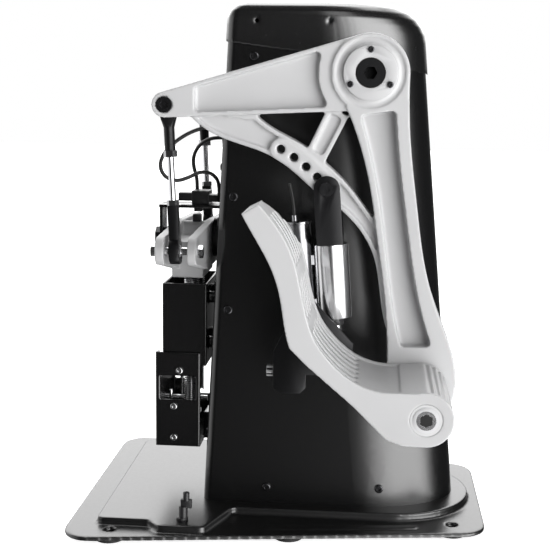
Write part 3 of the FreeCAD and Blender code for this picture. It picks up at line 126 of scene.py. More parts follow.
@dataclass(frozen=True)
class Finish:
    """A procedural surface: base colour, gloss, fine relief and slight wear.

    Attributes:
        name: The material's name.
        slot: The record's material slot.
        colour: Linear base colour.
        worn_colour: Colour that shows in scuffs and on rubbed areas.
        wear: Share of the surface that is scuffed, from 0 to 1.
        metallic: 1 for bare metal.
        roughness: Mean roughness.
        roughness_spread: How far roughness wanders to each side.
        relief: Height of the fine bump, in millimetres.
        relief_size: Size of one grain of the bump, in millimetres.
        grain: Direction of machining marks.
        coat: Weight of a clear coat.
        coat_roughness: The coat's own roughness.
        specular: Specular level.

    CLOUD_SIZE, SCUFF_SIZE and GLOSS_SIZE are the sizes in millimetres of the patches in which the
    colour, the scuffs and the roughness change. CLOUD_TONES are the darkest and palest share of the
    colour. SCUFF_START and SCUFF_FULL say at which noise level a scuff starts and is full, and how far
    full wear lowers that level. BUMP_STRENGTH is the strength of the fine relief.
    """

    name: str
    slot: str
    colour: tuple[float, float, float]
    worn_colour: tuple[float, float, float]
    wear: float = 0.1
    metallic: float = 0.0
    roughness: float = 0.4
    roughness_spread: float = 0.06
    relief: float = 0.02
    relief_size: float = 0.6
    grain: Grain = Grain.NONE
    coat: float = 0.0
    coat_roughness: float = 0.1
    specular: float = 0.5

    CLOUD_SIZE: ClassVar[float] = 45.0
    CLOUD_TONES: ClassVar[tuple[float, float]] = (0.94, 1.05)
    SCUFF_SIZE: ClassVar[float] = 7.0
    SCUFF_START: ClassVar[tuple[float, float]] = (0.78, 0.25)
    SCUFF_FULL: ClassVar[tuple[float, float]] = (0.90, 0.15)
    GLOSS_SIZE: ClassVar[float] = 3.0
    BUMP_STRENGTH: ClassVar[float] = 0.6

    def material(self) -> bpy.types.Material:
        """Builds the material once and returns it after that.

        Returns:
            The node-based material.
        """
        found = bpy.data.materials.get(self.name)
        if found is not None:
            return found
        material = bpy.data.materials.new(self.name)
        material.use_nodes = True
        tree = material.node_tree
        shader = tree.nodes["Principled BSDF"]
        place = tree.nodes.new("ShaderNodeTexCoord")
        self._colour(tree, shader, place)
        self._gloss(tree, shader, place)
        self._relief(tree, shader, place)
        return material

    def _noise(self, tree: bpy.types.NodeTree, place: bpy.types.Node, size_mm: float, detail: float,
               grain: Grain = Grain.NONE) -> bpy.types.Node:
        """Adds a noise of a given grain size on Object coordinates.

        Args:
            tree: The node tree that it is added to.
            place: The coordinates' node.
            size_mm: Size of one patch, in millimetres.
            detail: Octaves of finer noise.
            grain: Direction in which the patches are drawn out.

        Returns:
            The noise node.
        """
        mapping = tree.nodes.new("ShaderNodeMapping")
        mapping.inputs["Scale"].default_value = grain.value
        tree.links.new(place.outputs["Object"], mapping.inputs["Vector"])
        noise = tree.nodes.new("ShaderNodeTexNoise")
        noise.inputs["Scale"].default_value = 1.0 / (size_mm * MM)
        noise.inputs["Detail"].default_value = detail
        tree.links.new(mapping.outputs["Vector"], noise.inputs["Vector"])
        return noise

    def _colour(self, tree: bpy.types.NodeTree, shader: bpy.types.Node, place: bpy.types.Node) -> None:
        """Base colour with a soft cloudy change and scuffs.

        Args:
            tree: The node tree that it is added to.
            shader: The surface's own shader.
            place: The coordinates' node.
        """
        dark, pale = self.CLOUD_TONES
        broad = self._noise(tree, place, self.CLOUD_SIZE, 3.0)
        cloud = tree.nodes.new("ShaderNodeMix")
        cloud.data_type = "RGBA"
        cloud.inputs["A"].default_value = (*[c * dark for c in self.colour], 1.0)
        cloud.inputs["B"].default_value = (*[min(1.0, c * pale) for c in self.colour], 1.0)
        tree.links.new(broad.outputs["Fac"], cloud.inputs["Factor"])
        fine = self._noise(tree, place, self.SCUFF_SIZE, 8.0)
        start, full = (level - drop * self.wear for level, drop in (self.SCUFF_START, self.SCUFF_FULL))
        limit = tree.nodes.new("ShaderNodeMapRange")
        limit.inputs["From Min"].default_value = start
        limit.inputs["From Max"].default_value = full
        limit.inputs["To Max"].default_value = min(1.0, self.wear * 2.0)
        tree.links.new(fine.outputs["Fac"], limit.inputs["Value"])
        scuff = tree.nodes.new("ShaderNodeMix")
        scuff.data_type = "RGBA"
        scuff.inputs["B"].default_value = (*self.worn_colour, 1.0)
        tree.links.new(limit.outputs["Result"], scuff.inputs["Factor"])
        tree.links.new(cloud.outputs["Result"], scuff.inputs["A"])
        tree.links.new(scuff.outputs["Result"], shader.inputs["Base Color"])

    def _gloss(self, tree: bpy.types.NodeTree, shader: bpy.types.Node, place: bpy.types.Node) -> None:
        """Roughness that wanders, and the constants of metal and coat.

        Args:
            tree: The node tree that it is added to.
            shader: The surface's own shader.
            place: The coordinates' node.
        """
        noise = self._noise(tree, place, self.GLOSS_SIZE, 6.0, self.grain)
        spread = tree.nodes.new("ShaderNodeMapRange")
        spread.inputs["To Min"].default_value = max(0.02, self.roughness - self.roughness_spread)
        spread.inputs["To Max"].default_value = min(1.0, self.roughness + self.roughness_spread)
        tree.links.new(noise.outputs["Fac"], spread.inputs["Value"])
        tree.links.new(spread.outputs["Result"], shader.inputs["Roughness"])
        shader_socket(shader, "Metallic", self.metallic)
        shader_socket(shader, "Specular IOR Level", self.specular)
        shader_socket(shader, "Coat Weight", self.coat)
        shader_socket(shader, "Coat Roughness", self.coat_roughness)

    def _relief(self, tree: bpy.types.NodeTree, shader: bpy.types.Node, place: bpy.types.Node) -> None:
        """Fine bump: orange peel, powder texture or machining lines.

        Args:
            tree: The node tree that it is added to.
            shader: The surface's own shader.
            place: The coordinates' node.
        """
        noise = self._noise(tree, place, self.relief_size, 3.0, self.grain)
        bump = tree.nodes.new("ShaderNodeBump")
        bump.inputs["Strength"].default_value = self.BUMP_STRENGTH
        bump.inputs["Distance"].default_value = self.relief * MM
        tree.links.new(noise.outputs["Fac"], bump.inputs["Height"])
        tree.links.new(bump.outputs["Normal"], shader.inputs["Normal"])


POWDER = Finish("black powder coat", "black_powder", (0.0025, 0.0025, 0.0027),
                (0.012, 0.012, 0.012), wear=0.03, roughness=0.24, roughness_spread=0.03, relief=0.006,
                relief_size=0.45, specular=1.0)
STAMPED = Finish("black stamped plate", "black_powder", (0.004, 0.004, 0.0042),
                 (0.03, 0.03, 0.03), wear=0.05, roughness=0.30, roughness_spread=0.04, relief=0.008,
                 relief_size=0.5, specular=1.0)
GLOSS = Finish("smooth black cap", "cap_gloss", (0.003, 0.003, 0.0032), (0.015, 0.015, 0.015), wear=0.03,
               roughness=0.26, roughness_spread=0.03, relief=0.003, relief_size=0.7, specular=1.0, coat=1.0,
               coat_roughness=0.18)
CASTING = Finish("satin grey casting", "cast_grey", (0.47, 0.47, 0.475), (0.40, 0.40, 0.40), wear=0.06,
                 roughness=0.42, roughness_spread=0.06, relief=0.016, relief_size=0.8, specular=0.45)
OXIDE = Finish("black oxide steel", "black_steel", (0.012, 0.012, 0.013), (0.12, 0.12, 0.12), wear=0.10,
               metallic=0.5, roughness=0.32, relief=0.005, relief_size=0.5)
SCREW = Finish("black screw steel", "black_steel", (0.10, 0.10, 0.105), (0.30, 0.30, 0.30), wear=0.25,
               metallic=1.0, roughness=0.26, relief=0.003, relief_size=0.4)
# Painted shade: near-black finish of the thin disc over the heel pin's hexagon socket, standing in for the
# shade inside the recess.
SOCKET_SHADE = Finish("painted socket shade", "black_steel", (0.006, 0.006, 0.006), (0.03, 0.03, 0.03), wear=0.05,
                metallic=0.2, roughness=0.5, relief=0.004, relief_size=0.4)
SILVER = Finish("bright screw head", "black_steel", (0.66, 0.66, 0.67), (0.45, 0.45, 0.45), wear=0.08,
                metallic=1.0, roughness=0.24, relief=0.003, relief_size=0.3)
WASHER = Finish("satin nickel", "black_steel", (0.60, 0.60, 0.61), (0.45, 0.45, 0.45), wear=0.05,
                metallic=0.3, roughness=0.45, relief=0.003, relief_size=0.3)
BRIGHT = Finish("ground steel", "bright_steel", (0.66, 0.66, 0.67), (0.45, 0.45, 0.45), wear=0.08,
                metallic=1.0, roughness=0.25, relief=0.004, relief_size=0.35, grain=Grain.ALONG_Z)
SATIN_CHROME = Finish("satin chrome", "chromed", (0.80, 0.80, 0.81), (0.6, 0.6, 0.6), wear=0.03,
                      metallic=1.0, roughness=0.20, roughness_spread=0.03, relief=0.002, relief_size=0.3,
                      grain=Grain.ALONG_Z)
CHROME = Finish("polished chrome", "chromed", (0.84, 0.84, 0.86), (0.7, 0.7, 0.7), wear=0.02,
                metallic=1.0, roughness=0.08, roughness_spread=0.03, relief=0.001, relief_size=0.4)
SENSOR_SKIN = Finish("anodised sensor body", "black_plastic", (0.30, 0.30, 0.31),
                     (0.5, 0.5, 0.5), wear=0.05, metallic=1.0, roughness=0.22, relief=0.002,
                     relief_size=0.4)
ZINC = Finish("zinc plate", "frame_steel", (0.50, 0.51, 0.52), (0.35, 0.35, 0.36), wear=0.2,
              metallic=1.0, roughness=0.38, relief=0.006, relief_size=2.0)
RUBBER = Finish("matt rubber", "rubber", (0.012, 0.012, 0.012), (0.05, 0.05, 0.05), wear=0.15,
                roughness=0.75, relief=0.03, relief_size=0.5, specular=0.3)
PLASTIC = Finish("moulded black plastic", "black_plastic", (0.008, 0.008, 0.009),
                 (0.04, 0.04, 0.04), wear=0.05, roughness=0.42, relief=0.015, relief_size=0.35)
BRONZE = Finish("sintered bronze", "bronze", (0.16, 0.13, 0.10), (0.10, 0.08, 0.06), wear=0.2,
                metallic=1.0, roughness=0.4, relief=0.01, relief_size=0.4)
BOARD = Finish("solder mask", "board_green", (0.01, 0.09, 0.035), (0.3, 0.25, 0.1), wear=0.15,
               roughness=0.3, relief=0.01, relief_size=1.2, coat=0.3)
JACKET = Finish("cable jacket", "cable_jacket", (0.006, 0.006, 0.006), (0.03, 0.03, 0.03), wear=0.05,
                roughness=0.42, relief=0.01, relief_size=0.5)
POLYMER = Finish("pale polymer bush", "pale_bush", (0.55, 0.55, 0.555), (0.4, 0.4, 0.4), wear=0.08,
                 roughness=0.4, relief=0.006, relief_size=0.4)


# ---- making and dressing pieces ---------------------------------------------------------------


@dataclass(frozen=True)
class Skin:
    """How a cast or stamped surface is laid over a CAD node.

    Attributes:
        cell: Size of one cell, in millimetres.
        relax: Rounds of smoothing, which set how soft the edges are.
        keep: Share of the faces that stays.
    """

    cell: float = 0.9
    relax: int = 4
    keep: float = 0.4


@dataclass
class Workshop:
    """Turns CAD nodes into finished pieces and keeps count of them."""

    frame: dict
    made: list[str] = field(default_factory=list)

    def body_of(self, node: str) -> str:
        """The name of the body that a CAD node rides on."""
        return self.frame["nodes"][node]["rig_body"]

    def dress(self, node: str, finish: Finish) -> None:
        """Gives a CAD node its finish without touching its mesh.

        Args:
            node: The CAD node's name.
            finish: The finish it gets.
        """
        piece = self.frame["nodes"][node]
        piece.data.materials.clear()
        piece.data.materials.append(finish.material())
        self.made.append(node)
        LOG.info("dressed %s with %s", node, finish.name)

    def piece(self, name: str, shape: bmesh.types.BMesh, body: str, finish: Finish,
              sharp: float = SHARP_ANGLE) -> bpy.types.Object:
        """Makes an object of a finished bmesh and hangs it on a body.

        Args:
            name: The object's name.
            shape: The bmesh, in metres; it is freed.
            body: The CAD body that it rides on.
            finish: Its finish.
            sharp: Edges that turn by more degrees than this stay sharp.

        Returns:
            The new object, at the origin.
        """
        thing = self.loose(name, shape, finish, sharp)
        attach(thing, body)
        LOG.info("%s rides on %s", name, body)
        return thing

    def loose(self, name: str, shape: bmesh.types.BMesh, finish: Finish,
              sharp: float = SHARP_ANGLE) -> bpy.types.Object:
        """Makes an object of a finished bmesh that no body carries yet.

        Args:
            name: The object's name.
            shape: The bmesh, in metres; it is freed.
            finish: Its finish.
            sharp: Edges that turn by more degrees than this stay sharp.

        Returns:
            The new object, at the origin.
        """
        mesh = bpy.data.meshes.new(name)
        shape.to_mesh(mesh)
        shape.free()
        mesh.polygons.foreach_set("use_smooth", [True] * len(mesh.polygons))
        mesh.set_sharp_from_angle(angle=math.radians(sharp))
        thing = bpy.data.objects.new(name, mesh)
        bpy.context.scene.collection.objects.link(thing)
        thing.data.materials.append(finish.material())
        self.made.append(name)
        LOG.info("made %s", name)
        return thing

    def copy_of(self, node: str) -> bmesh.types.BMesh:
        """A merged copy of a CAD node's mesh, its flat faces joined into whole ones.

        Args:
            node: The CAD node's name.

        Returns:
            The copy, in metres, for the caller to free.
        """
        shape = bmesh.new()
        shape.from_mesh(self.frame["nodes"][node].data)
        bmesh.ops.remove_doubles(shape, verts=shape.verts, dist=MERGE_DISTANCE * MM)
        bmesh.ops.dissolve_limit(shape, angle_limit=math.radians(FLAT_ANGLE), verts=shape.verts,
                                 edges=shape.edges)
        return shape

    def rounded(self, node: str, finish: Finish, width: float) -> bpy.types.Object:
        """Replaces a CAD node by a copy of itself with eased edges.

        Args:
            node: The CAD node's name.
            finish: Its finish.
            width: Width of the eased edge, in millimetres.

        Returns:
            The new piece.
        """
        shape = self.copy_of(node)
        edges = [e for e in shape.edges if len(e.link_faces) == 2
                 and e.calc_face_angle(0.0) > math.radians(EASED_ANGLE)]
        bmesh.ops.bevel(shape, geom=edges, offset=width * MM, offset_type="OFFSET",
                        segments=EASED_SEGMENTS, profile=0.5, affect="EDGES", clamp_overlap=True,
                        material=-1)
        new = self.piece(node + ".eased", shape, self.body_of(node), finish)
        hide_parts(node)
        return new

    def cast(self, node: str, finish: Finish, skin: Skin) -> bpy.types.Object:
        """Replaces a CAD node by an even skin that has a casting's soft edges and fillets.

        Args:
            node: The CAD node's name.
            finish: Its finish.
            skin: How fine and how soft the skin is.

        Returns:
            The new piece.
        """
        shape = self.copy_of(node)
        mesh = bpy.data.meshes.new(node + ".rough")
        shape.to_mesh(mesh)
        shape.free()
        rough = bpy.data.objects.new(node + ".rough", mesh)
        bpy.context.scene.collection.objects.link(rough)
        cells = rough.modifiers.new("even cells", "REMESH")
        cells.mode = "VOXEL"
        cells.voxel_size = skin.cell * MM
        relax = rough.modifiers.new("soft edges", "SMOOTH")
        relax.factor = 0.5
        relax.iterations = skin.relax
        thin = rough.modifiers.new("fewer faces", "DECIMATE")
        thin.ratio = skin.keep
        bpy.context.view_layer.update()
        ready = rough.evaluated_get(bpy.context.evaluated_depsgraph_get())
        shape = bmesh.new()
        shape.from_mesh(ready.to_mesh())
        ready.to_mesh_clear()
        bpy.data.objects.remove(rough)
        new = self.piece(node + ".cast", shape, self.body_of(node), finish,
                         sharp=CAST_SHARP_ANGLE)
        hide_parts(node)
        return new


# ---- sub-assemblies ---------------------------------------------------------------------------


@dataclass
class Base:
    """Floor plate, its feet and its thumbscrew."""

    shop: Workshop
    stamped: Skin = Skin(cell=1.25, relax=5, keep=0.45)

    def build(self) -> None:
        """Makes and dresses the pieces that stand on the floor."""
        self.shop.cast("base_plate", STAMPED, self.stamped)
        self.shop.rounded("rubber_feet", RUBBER, 0.8)
        self.shop.rounded("plate_thumbscrew", PLASTIC, 0.5)


@dataclass
class Tower:
    """Folded shell, cap, rear panel and the frame inside them."""

    shop: Workshop
    crown: Skin = Skin(cell=1.1, relax=6, keep=0.5)

    def build(self) -> None:
        """Makes and dresses the tower."""
        self.shop.dress("tower_shell", POWDER)
        self.shop.cast("tower_cap", GLOSS, self.crown)
        self.shop.dress("rear_panel", POWDER)
        self.shop.dress("tower_screws", SCREW)
        for node in ("frame_sides", "frame_crossbars"):
            self.shop.dress(node, ZINC)
        self.shop.dress("main_shaft", OXIDE)
        self.shop.dress("circuit_board", BOARD)
        self.shop.dress("usb_inlet", BRIGHT)
        self.shop.dress("cable_grommet", RUBBER)


@dataclass
class Spring:
    """One close-wound centring spring between the anchor pin and the rocker.

    Attributes:
        shop: Where the spring is made.
        side: The side it hangs on.
        wire: Radius of the wire, in millimetres, as all lengths here are.
        coil: Radius of the coil, to the middle of the wire.
        steps: Facets in one turn.
        pin_y: How far the pins are from the middle.
        low_pin: Height of the anchor pin.
        high_pin: Height of the pin on the rocker.
        hook: Height of a hook, from its pin to the coil.
        rise: Rise of one turn, in wire radii.
        eye: Radius of a hook's round eye.
        neck: Length of the straight neck of a hook.
        neck_at: How far the neck's middle is from the pin.
    """

    shop: Workshop
    side: Side
    wire: float = 0.9
    coil: float = 5.0
    steps: int = 20
    pin_y: float = 20.0
    low_pin: float = 84.0
    high_pin: float = 216.0
    hook: float = 9.0
    rise: float = 2.05
    eye: float = 4.1
    neck: float = 6.0
    neck_at: float = 7.0

    def build(self) -> bpy.types.Object:
        """Winds the coil, adds a hook at each end and hangs it between the base and the rocker.

        Returns:
            The finished spring.
        """
        low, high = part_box("centring_springs")
        x = (low.x + high.x) / 2
        y = self.side.sign * self.pin_y * MM
        shape = bmesh.new()
        bottom = (self.low_pin + self.hook) * MM
        top = (self.high_pin - self.hook) * MM
        turns = int((top - bottom) / (self.rise * self.wire * MM))
        self._wind(shape, Vector((x, y, bottom)), (top - bottom) / turns, turns)
        for pin, way in ((self.low_pin, 1), (self.high_pin, -1)):
            self._hook(shape, Vector((x, y, pin * MM)), way)
        bmesh.ops.recalc_face_normals(shape, faces=shape.faces)
        body = self.shop.body_of("centring_springs")
        spring = self.shop.loose(f"{self.side.label}_centring_spring", shape, BRIGHT)
        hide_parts("centring_springs")
        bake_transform(spring)
        return spring

    def _section(self, shape: bmesh.types.BMesh, at: Vector, turn: Matrix) -> list:
        """A wire's round section at a place, with its verts and edges.

        Args:
            shape: The bmesh that it is added to.
            at: The section's middle.
            turn: How the section is turned from the flat.

        Returns:
            The section's verts, then its edges.
        """
        made = bmesh.ops.create_circle(shape, segments=8, radius=self.wire * MM,
                                       matrix=Matrix.Translation(at) @ turn)
        edges = {edge for vert in made["verts"] for edge in vert.link_edges}
        return [*made["verts"], *edges]

    def _wind(self, shape: bmesh.types.BMesh, foot: Vector, pitch: float, turns: int) -> None:
        """Winds the coil upwards from its foot.

        Args:
            shape: The bmesh that it is added to.
            foot: The middle of the coil's lowest turn.
            pitch: Rise of one turn, in metres.
            turns: How many turns there are.
        """
        start = foot + Vector((self.coil * MM, 0.0, 0.0))
        section = self._section(shape, start, Matrix.Rotation(math.pi / 2, 4, "X"))
        bmesh.ops.spin(shape, geom=section, cent=foot, axis=(0, 0, 1), angle=math.tau * turns,
                       steps=self.steps * turns, dvec=(0, 0, pitch / self.steps), use_merge=False)
        ends = [e for e in shape.edges if e.is_boundary]
        bmesh.ops.holes_fill(shape, edges=ends, sides=0)

    def _hook(self, shape: bmesh.types.BMesh, pin: Vector, way: int) -> None:
        """A round eye about a pin, with a short neck towards the coil.

        Args:
            shape: The bmesh that it is added to.
            pin: The middle of the pin.
            way: 1 where the coil is above the pin, -1 where it is below.
        """
        section = self._section(shape, pin + Vector((0.0, self.eye * MM, 0.0)), Matrix.Identity(4))
        bmesh.ops.spin(shape, geom=section, cent=pin, axis=(1, 0, 0), angle=math.tau, steps=self.steps,
                       use_merge=True)
        neck = Matrix.Translation(pin + Vector((0.0, 0.0, way * self.neck_at * MM)))
        bmesh.ops.create_cone(shape, cap_ends=True, segments=8, radius1=self.wire * MM,
                              radius2=self.wire * MM, depth=self.neck * MM, matrix=neck)


@dataclass
class Linkage:
    """Rocker, push rods, springs, sensor and their brackets behind the tower."""

    shop: Workshop
    skin: Skin = Skin(cell=0.7, relax=3, keep=0.5)
    sheet: Skin = Skin(cell=0.75, relax=2, keep=0.4)

    def build(self) -> None:
        """Makes and dresses the rear linkage."""
        for node in ("pivot_housing", "axle_bridge"):
            self.shop.rounded(node, POWDER, 0.5)
        for node in ("spring_channel", "anchor_box"):
            self.shop.cast(node, POWDER, self.sheet)
        self.shop.cast("rocker", CASTING, self.skin)
        self.shop.dress("rocker_axle", OXIDE)
        self.shop.dress("rocker_pins", SILVER)
        self.shop.dress("spring_anchors", BRIGHT)
        self.shop.rounded("rudder_sensor", PLASTIC, 0.5)
        self.shop.rounded("magnet_holder", PLASTIC, 0.4)
        for side in Side:
            Spring(self.shop, side).build()
            self.shop.dress(side.label + "_rod_ball", BRIGHT)
            self.shop.rounded(side.label + "_rod_low_end", OXIDE, 0.6)
            self.shop.dress(side.label + "_push_rod", CHROME)
            self.shop.rounded(side.label + "_rod_top_end", OXIDE, 0.5)


@dataclass
class Arm:
    """One swinging arm with its hub, pedal and brake strut.

    Attributes:
        shop: Where the pieces are made.
        side: The side it hangs on.
        skin: The arm casting's skin.
        tread: The pedal casting's skin.
        collar_r: Radius of the heel pin's collar, in millimetres, as all lengths here are.
        collar_steps: How far each step of the collar draws in, and its depth.
        collar_back: How deep the collar's back is in the pin.
        socket_r: Radius of the pin's hexagon socket.
        socket_skin: Thickness of the near-black disc laid over the socket, which paints the shade of its
            recess.
        socket_proud: How far the disc stands proud of the pin's face.
        bolt_at: Where the stop bolt's head meets its bracket, with Y away from the middle.
        bolt_r: Radius of the bolt's head.
        bolt_head: Height of the bolt's head.
        bolt_middle: How far the head's middle is from bolt_at.
        bolt_ease: Width of the eased rim of the head.
        washer_r: Radius of the bolt's washer.
        washer: Thickness of the washer.
    """

    shop: Workshop
    side: Side
    skin: Skin = Skin(cell=1.0, relax=4, keep=0.5)
    tread: Skin = Skin(cell=0.85, relax=3, keep=0.5)
    collar_r: float = 9.2
    collar_steps: tuple[tuple[float, float], ...] = ((0.0, 0.5), (0.9, 0.8))
    collar_back: float = 1.0
    socket_r: float = 5.0
    socket_skin: float = 0.03
    socket_proud: float = 0.02
    bolt_at: tuple[float, float, float] = (-3.0, 99.0, 142.5)
    bolt_r: float = 4.75
    bolt_head: float = 5.4
    bolt_middle: float = 3.1
    bolt_ease: float = 0.4
    washer_r: float = 5.4
    washer: float = 0.6

    def node(self, name: str) -> str:
        """The full name of a node on this side."""
        return f"{self.side.label}_{name}"

    def build(self) -> None:
        """Makes and dresses the arm and what hangs from it."""
        self.shop.cast(self.node("arm"), CASTING, self.skin)
        self.shop.rounded(self.node("hub_cap"), CASTING, 0.3)
        self.shop.dress(self.node("hub_bearing"), BRONZE)
        self.shop.dress(self.node("arm_screws"), SCREW)
        self.shop.dress(self.node("pedal_pin"), SILVER)
        self.shop.cast(self.node("pedal"), CASTING, self.tread)
        self.shop.dress(self.node("pedal_bushes"), POLYMER)
        self.shop.rounded(self.node("link_bracket"), OXIDE, 0.4)
        self._stop_bolt()
        self._pin_head()
        self.shop.rounded(self.node("strut_clevis"), OXIDE, 0.5)
        self.shop.rounded(self.node("strut_cylinder"), SATIN_CHROME, 0.6)
        self.shop.dress(self.node("strut_rod"), BRIGHT)
        self.shop.rounded(self.node("brake_sensor"), SENSOR_SKIN, 0.5)
        self.shop.dress(self.node("sensor_lead"), JACKET)

    def _pin_head(self) -> None:
        """The heel pin's flat silver collar on the pedal's outer cheek, and a disc of painted shade over
        its socket.
        """
        low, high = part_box(self.node("pedal_pin"))
        face = low.y if self.side is Side.LEFT else high.y
        x, z = (low.x + high.x) / 2, (low.z + high.z) / 2
        across = Matrix.Rotation(math.pi / 2, 4, "X")
        inward = -self.side.sign
        body = self.shop.body_of(self.node("pedal_pin"))
        collar = bmesh.new()
        for draw, depth in self.collar_steps:
            radius = (self.collar_r - draw) * MM
            middle = Matrix.Translation((x, face + inward * (self.collar_back - depth / 2) * MM, z))
            bmesh.ops.create_cone(collar, cap_ends=True, segments=48, radius1=radius, radius2=radius,
                                  depth=depth * MM, matrix=middle @ across)
        self.shop.piece(self.node("pin_collar"), collar, body, WASHER)
        # Painted shade: a near-black hexagon sheet laid just proud of the pin's face, where the socket's
        # recess is in shade.
        socket = bmesh.new()
        middle = Matrix.Translation((x, face - inward * self.socket_proud * MM, z))
        bmesh.ops.create_circle(socket, cap_ends=True, segments=6, radius=self.socket_r * MM,
                                matrix=middle @ across)
        bmesh.ops.solidify(socket, geom=socket.faces, thickness=self.socket_skin * MM)
        bmesh.ops.recalc_face_normals(socket, faces=socket.faces)
        self.shop.piece(self.node("pin_socket"), socket, body, SOCKET_SHADE)

    def _stop_bolt(self) -> bpy.types.Object:
        """The plated hexagon head and washer of the bolt that stops the pedal's travel.

        Returns:
            The finished bolt.
        """
        x, y, z = self.bolt_at
        at = Vector((x * MM, self.side.sign * y * MM, z * MM))
        shape = bmesh.new()
        across = Matrix.Rotation(math.pi / 2, 4, "Y")
        head = Matrix.Translation(at + Vector((-self.bolt_middle * MM, 0.0, 0.0))) @ across
        bmesh.ops.create_cone(shape, cap_ends=True, segments=6, radius1=self.bolt_r * MM,
                              radius2=self.bolt_r * MM, depth=self.bolt_head * MM, matrix=head)
        rims = [e for e in shape.edges if abs(e.verts[0].co.x - e.verts[1].co.x) < MM]
        bmesh.ops.bevel(shape, geom=rims, offset=self.bolt_ease * MM, offset_type="OFFSET", segments=2,
                        profile=0.5, affect="EDGES", material=-1)
        washer = Matrix.Translation(at + Vector((-self.washer / 2 * MM, 0.0, 0.0))) @ across
        bmesh.ops.create_cone(shape, cap_ends=True, segments=40, radius1=self.washer_r * MM,
                              radius2=self.washer_r * MM, depth=self.washer * MM, matrix=washer)
        body = self.shop.body_of(self.node("link_bracket"))
        return self.shop.piece(self.node("stop_bolt"), shape, body, WASHER)


# ---- cords ------------------------------------------------------------------------------------


@dataclass
class Cable:
    """A free cable that leaves the tower's gland and goes back into the sensor."""

    shop: Workshop
    node: str
    route: Sequence[tuple[float, float, float]]
    length: float
    radius: float = 1.6

    def build(self) -> bpy.types.Object:
        """Returns:
            The curve object.
        """
        curve = bpy.data.curves.new(self.node + ".line", "CURVE")
        curve.dimensions = "3D"
        curve.bevel_depth = self.radius * MM
        curve.bevel_resolution = 5
        curve.resolution_u = 16
        curve.use_fill_caps = True
        spline = curve.splines.new("NURBS")
        spline.points.add(len(self.route) - 1)
        for point, place in zip(spline.points, self.route):
            point.co = (*[c * MM for c in place], 1.0)
        spline.order_u = 3
        spline.use_endpoint_u = True
        cable = bpy.data.objects.new(self.node + ".line", curve)
        bpy.context.scene.collection.objects.link(cable)
        curve.materials.append(JACKET.material())
        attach(cable, self.shop.body_of(self.node))
        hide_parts(self.node)
        LOG.info("made cable %s", self.node)
        return cable


LONG_ROUTE = [(-50.0, -14.0, 330.0), (-60.0, -15.0, 332.5), (-72.0, -17.0, 332.0), (-84.5, -20.0, 327.5),
              (-96.0, -23.0, 320.0), (-105.5, -25.0, 310.5), (-109.5, -25.5, 299.5), (-105.2, -25.0, 289.8),
              (-95.5, -22.5, 286.0), (-85.5, -19.5, 289.0), (-76.5, -16.0, 294.0), (-67.5, -13.0, 293.5),
              (-61.4, -11.0, 287.8), (-60.0, -10.0, 280.8), (-60.0, -10.0, 274.0)]
SHORT_ROUTE = [(-50.0, -11.0, 323.0), (-60.0, -9.5, 323.5), (-71.0, -6.0, 321.5), (-80.0, -1.0, 315.0),
               (-85.0, 4.0, 305.5), (-85.0, 7.0, 296.0), (-82.0, 8.0, 287.0), (-82.0, 8.0, 277.0)]


# ---- studio -----------------------------------------------------------------------------------


@dataclass(frozen=True)
class Lamp:
    """One soft rectangular light.

    Attributes:
        name: The light's name.
        at: Where it stands, in metres.
        size: Its width and height, in metres.
        power: Its power, in watts.
    """

    name: str
    at: tuple[float, float, float]
    size: tuple[float, float]
    power: float


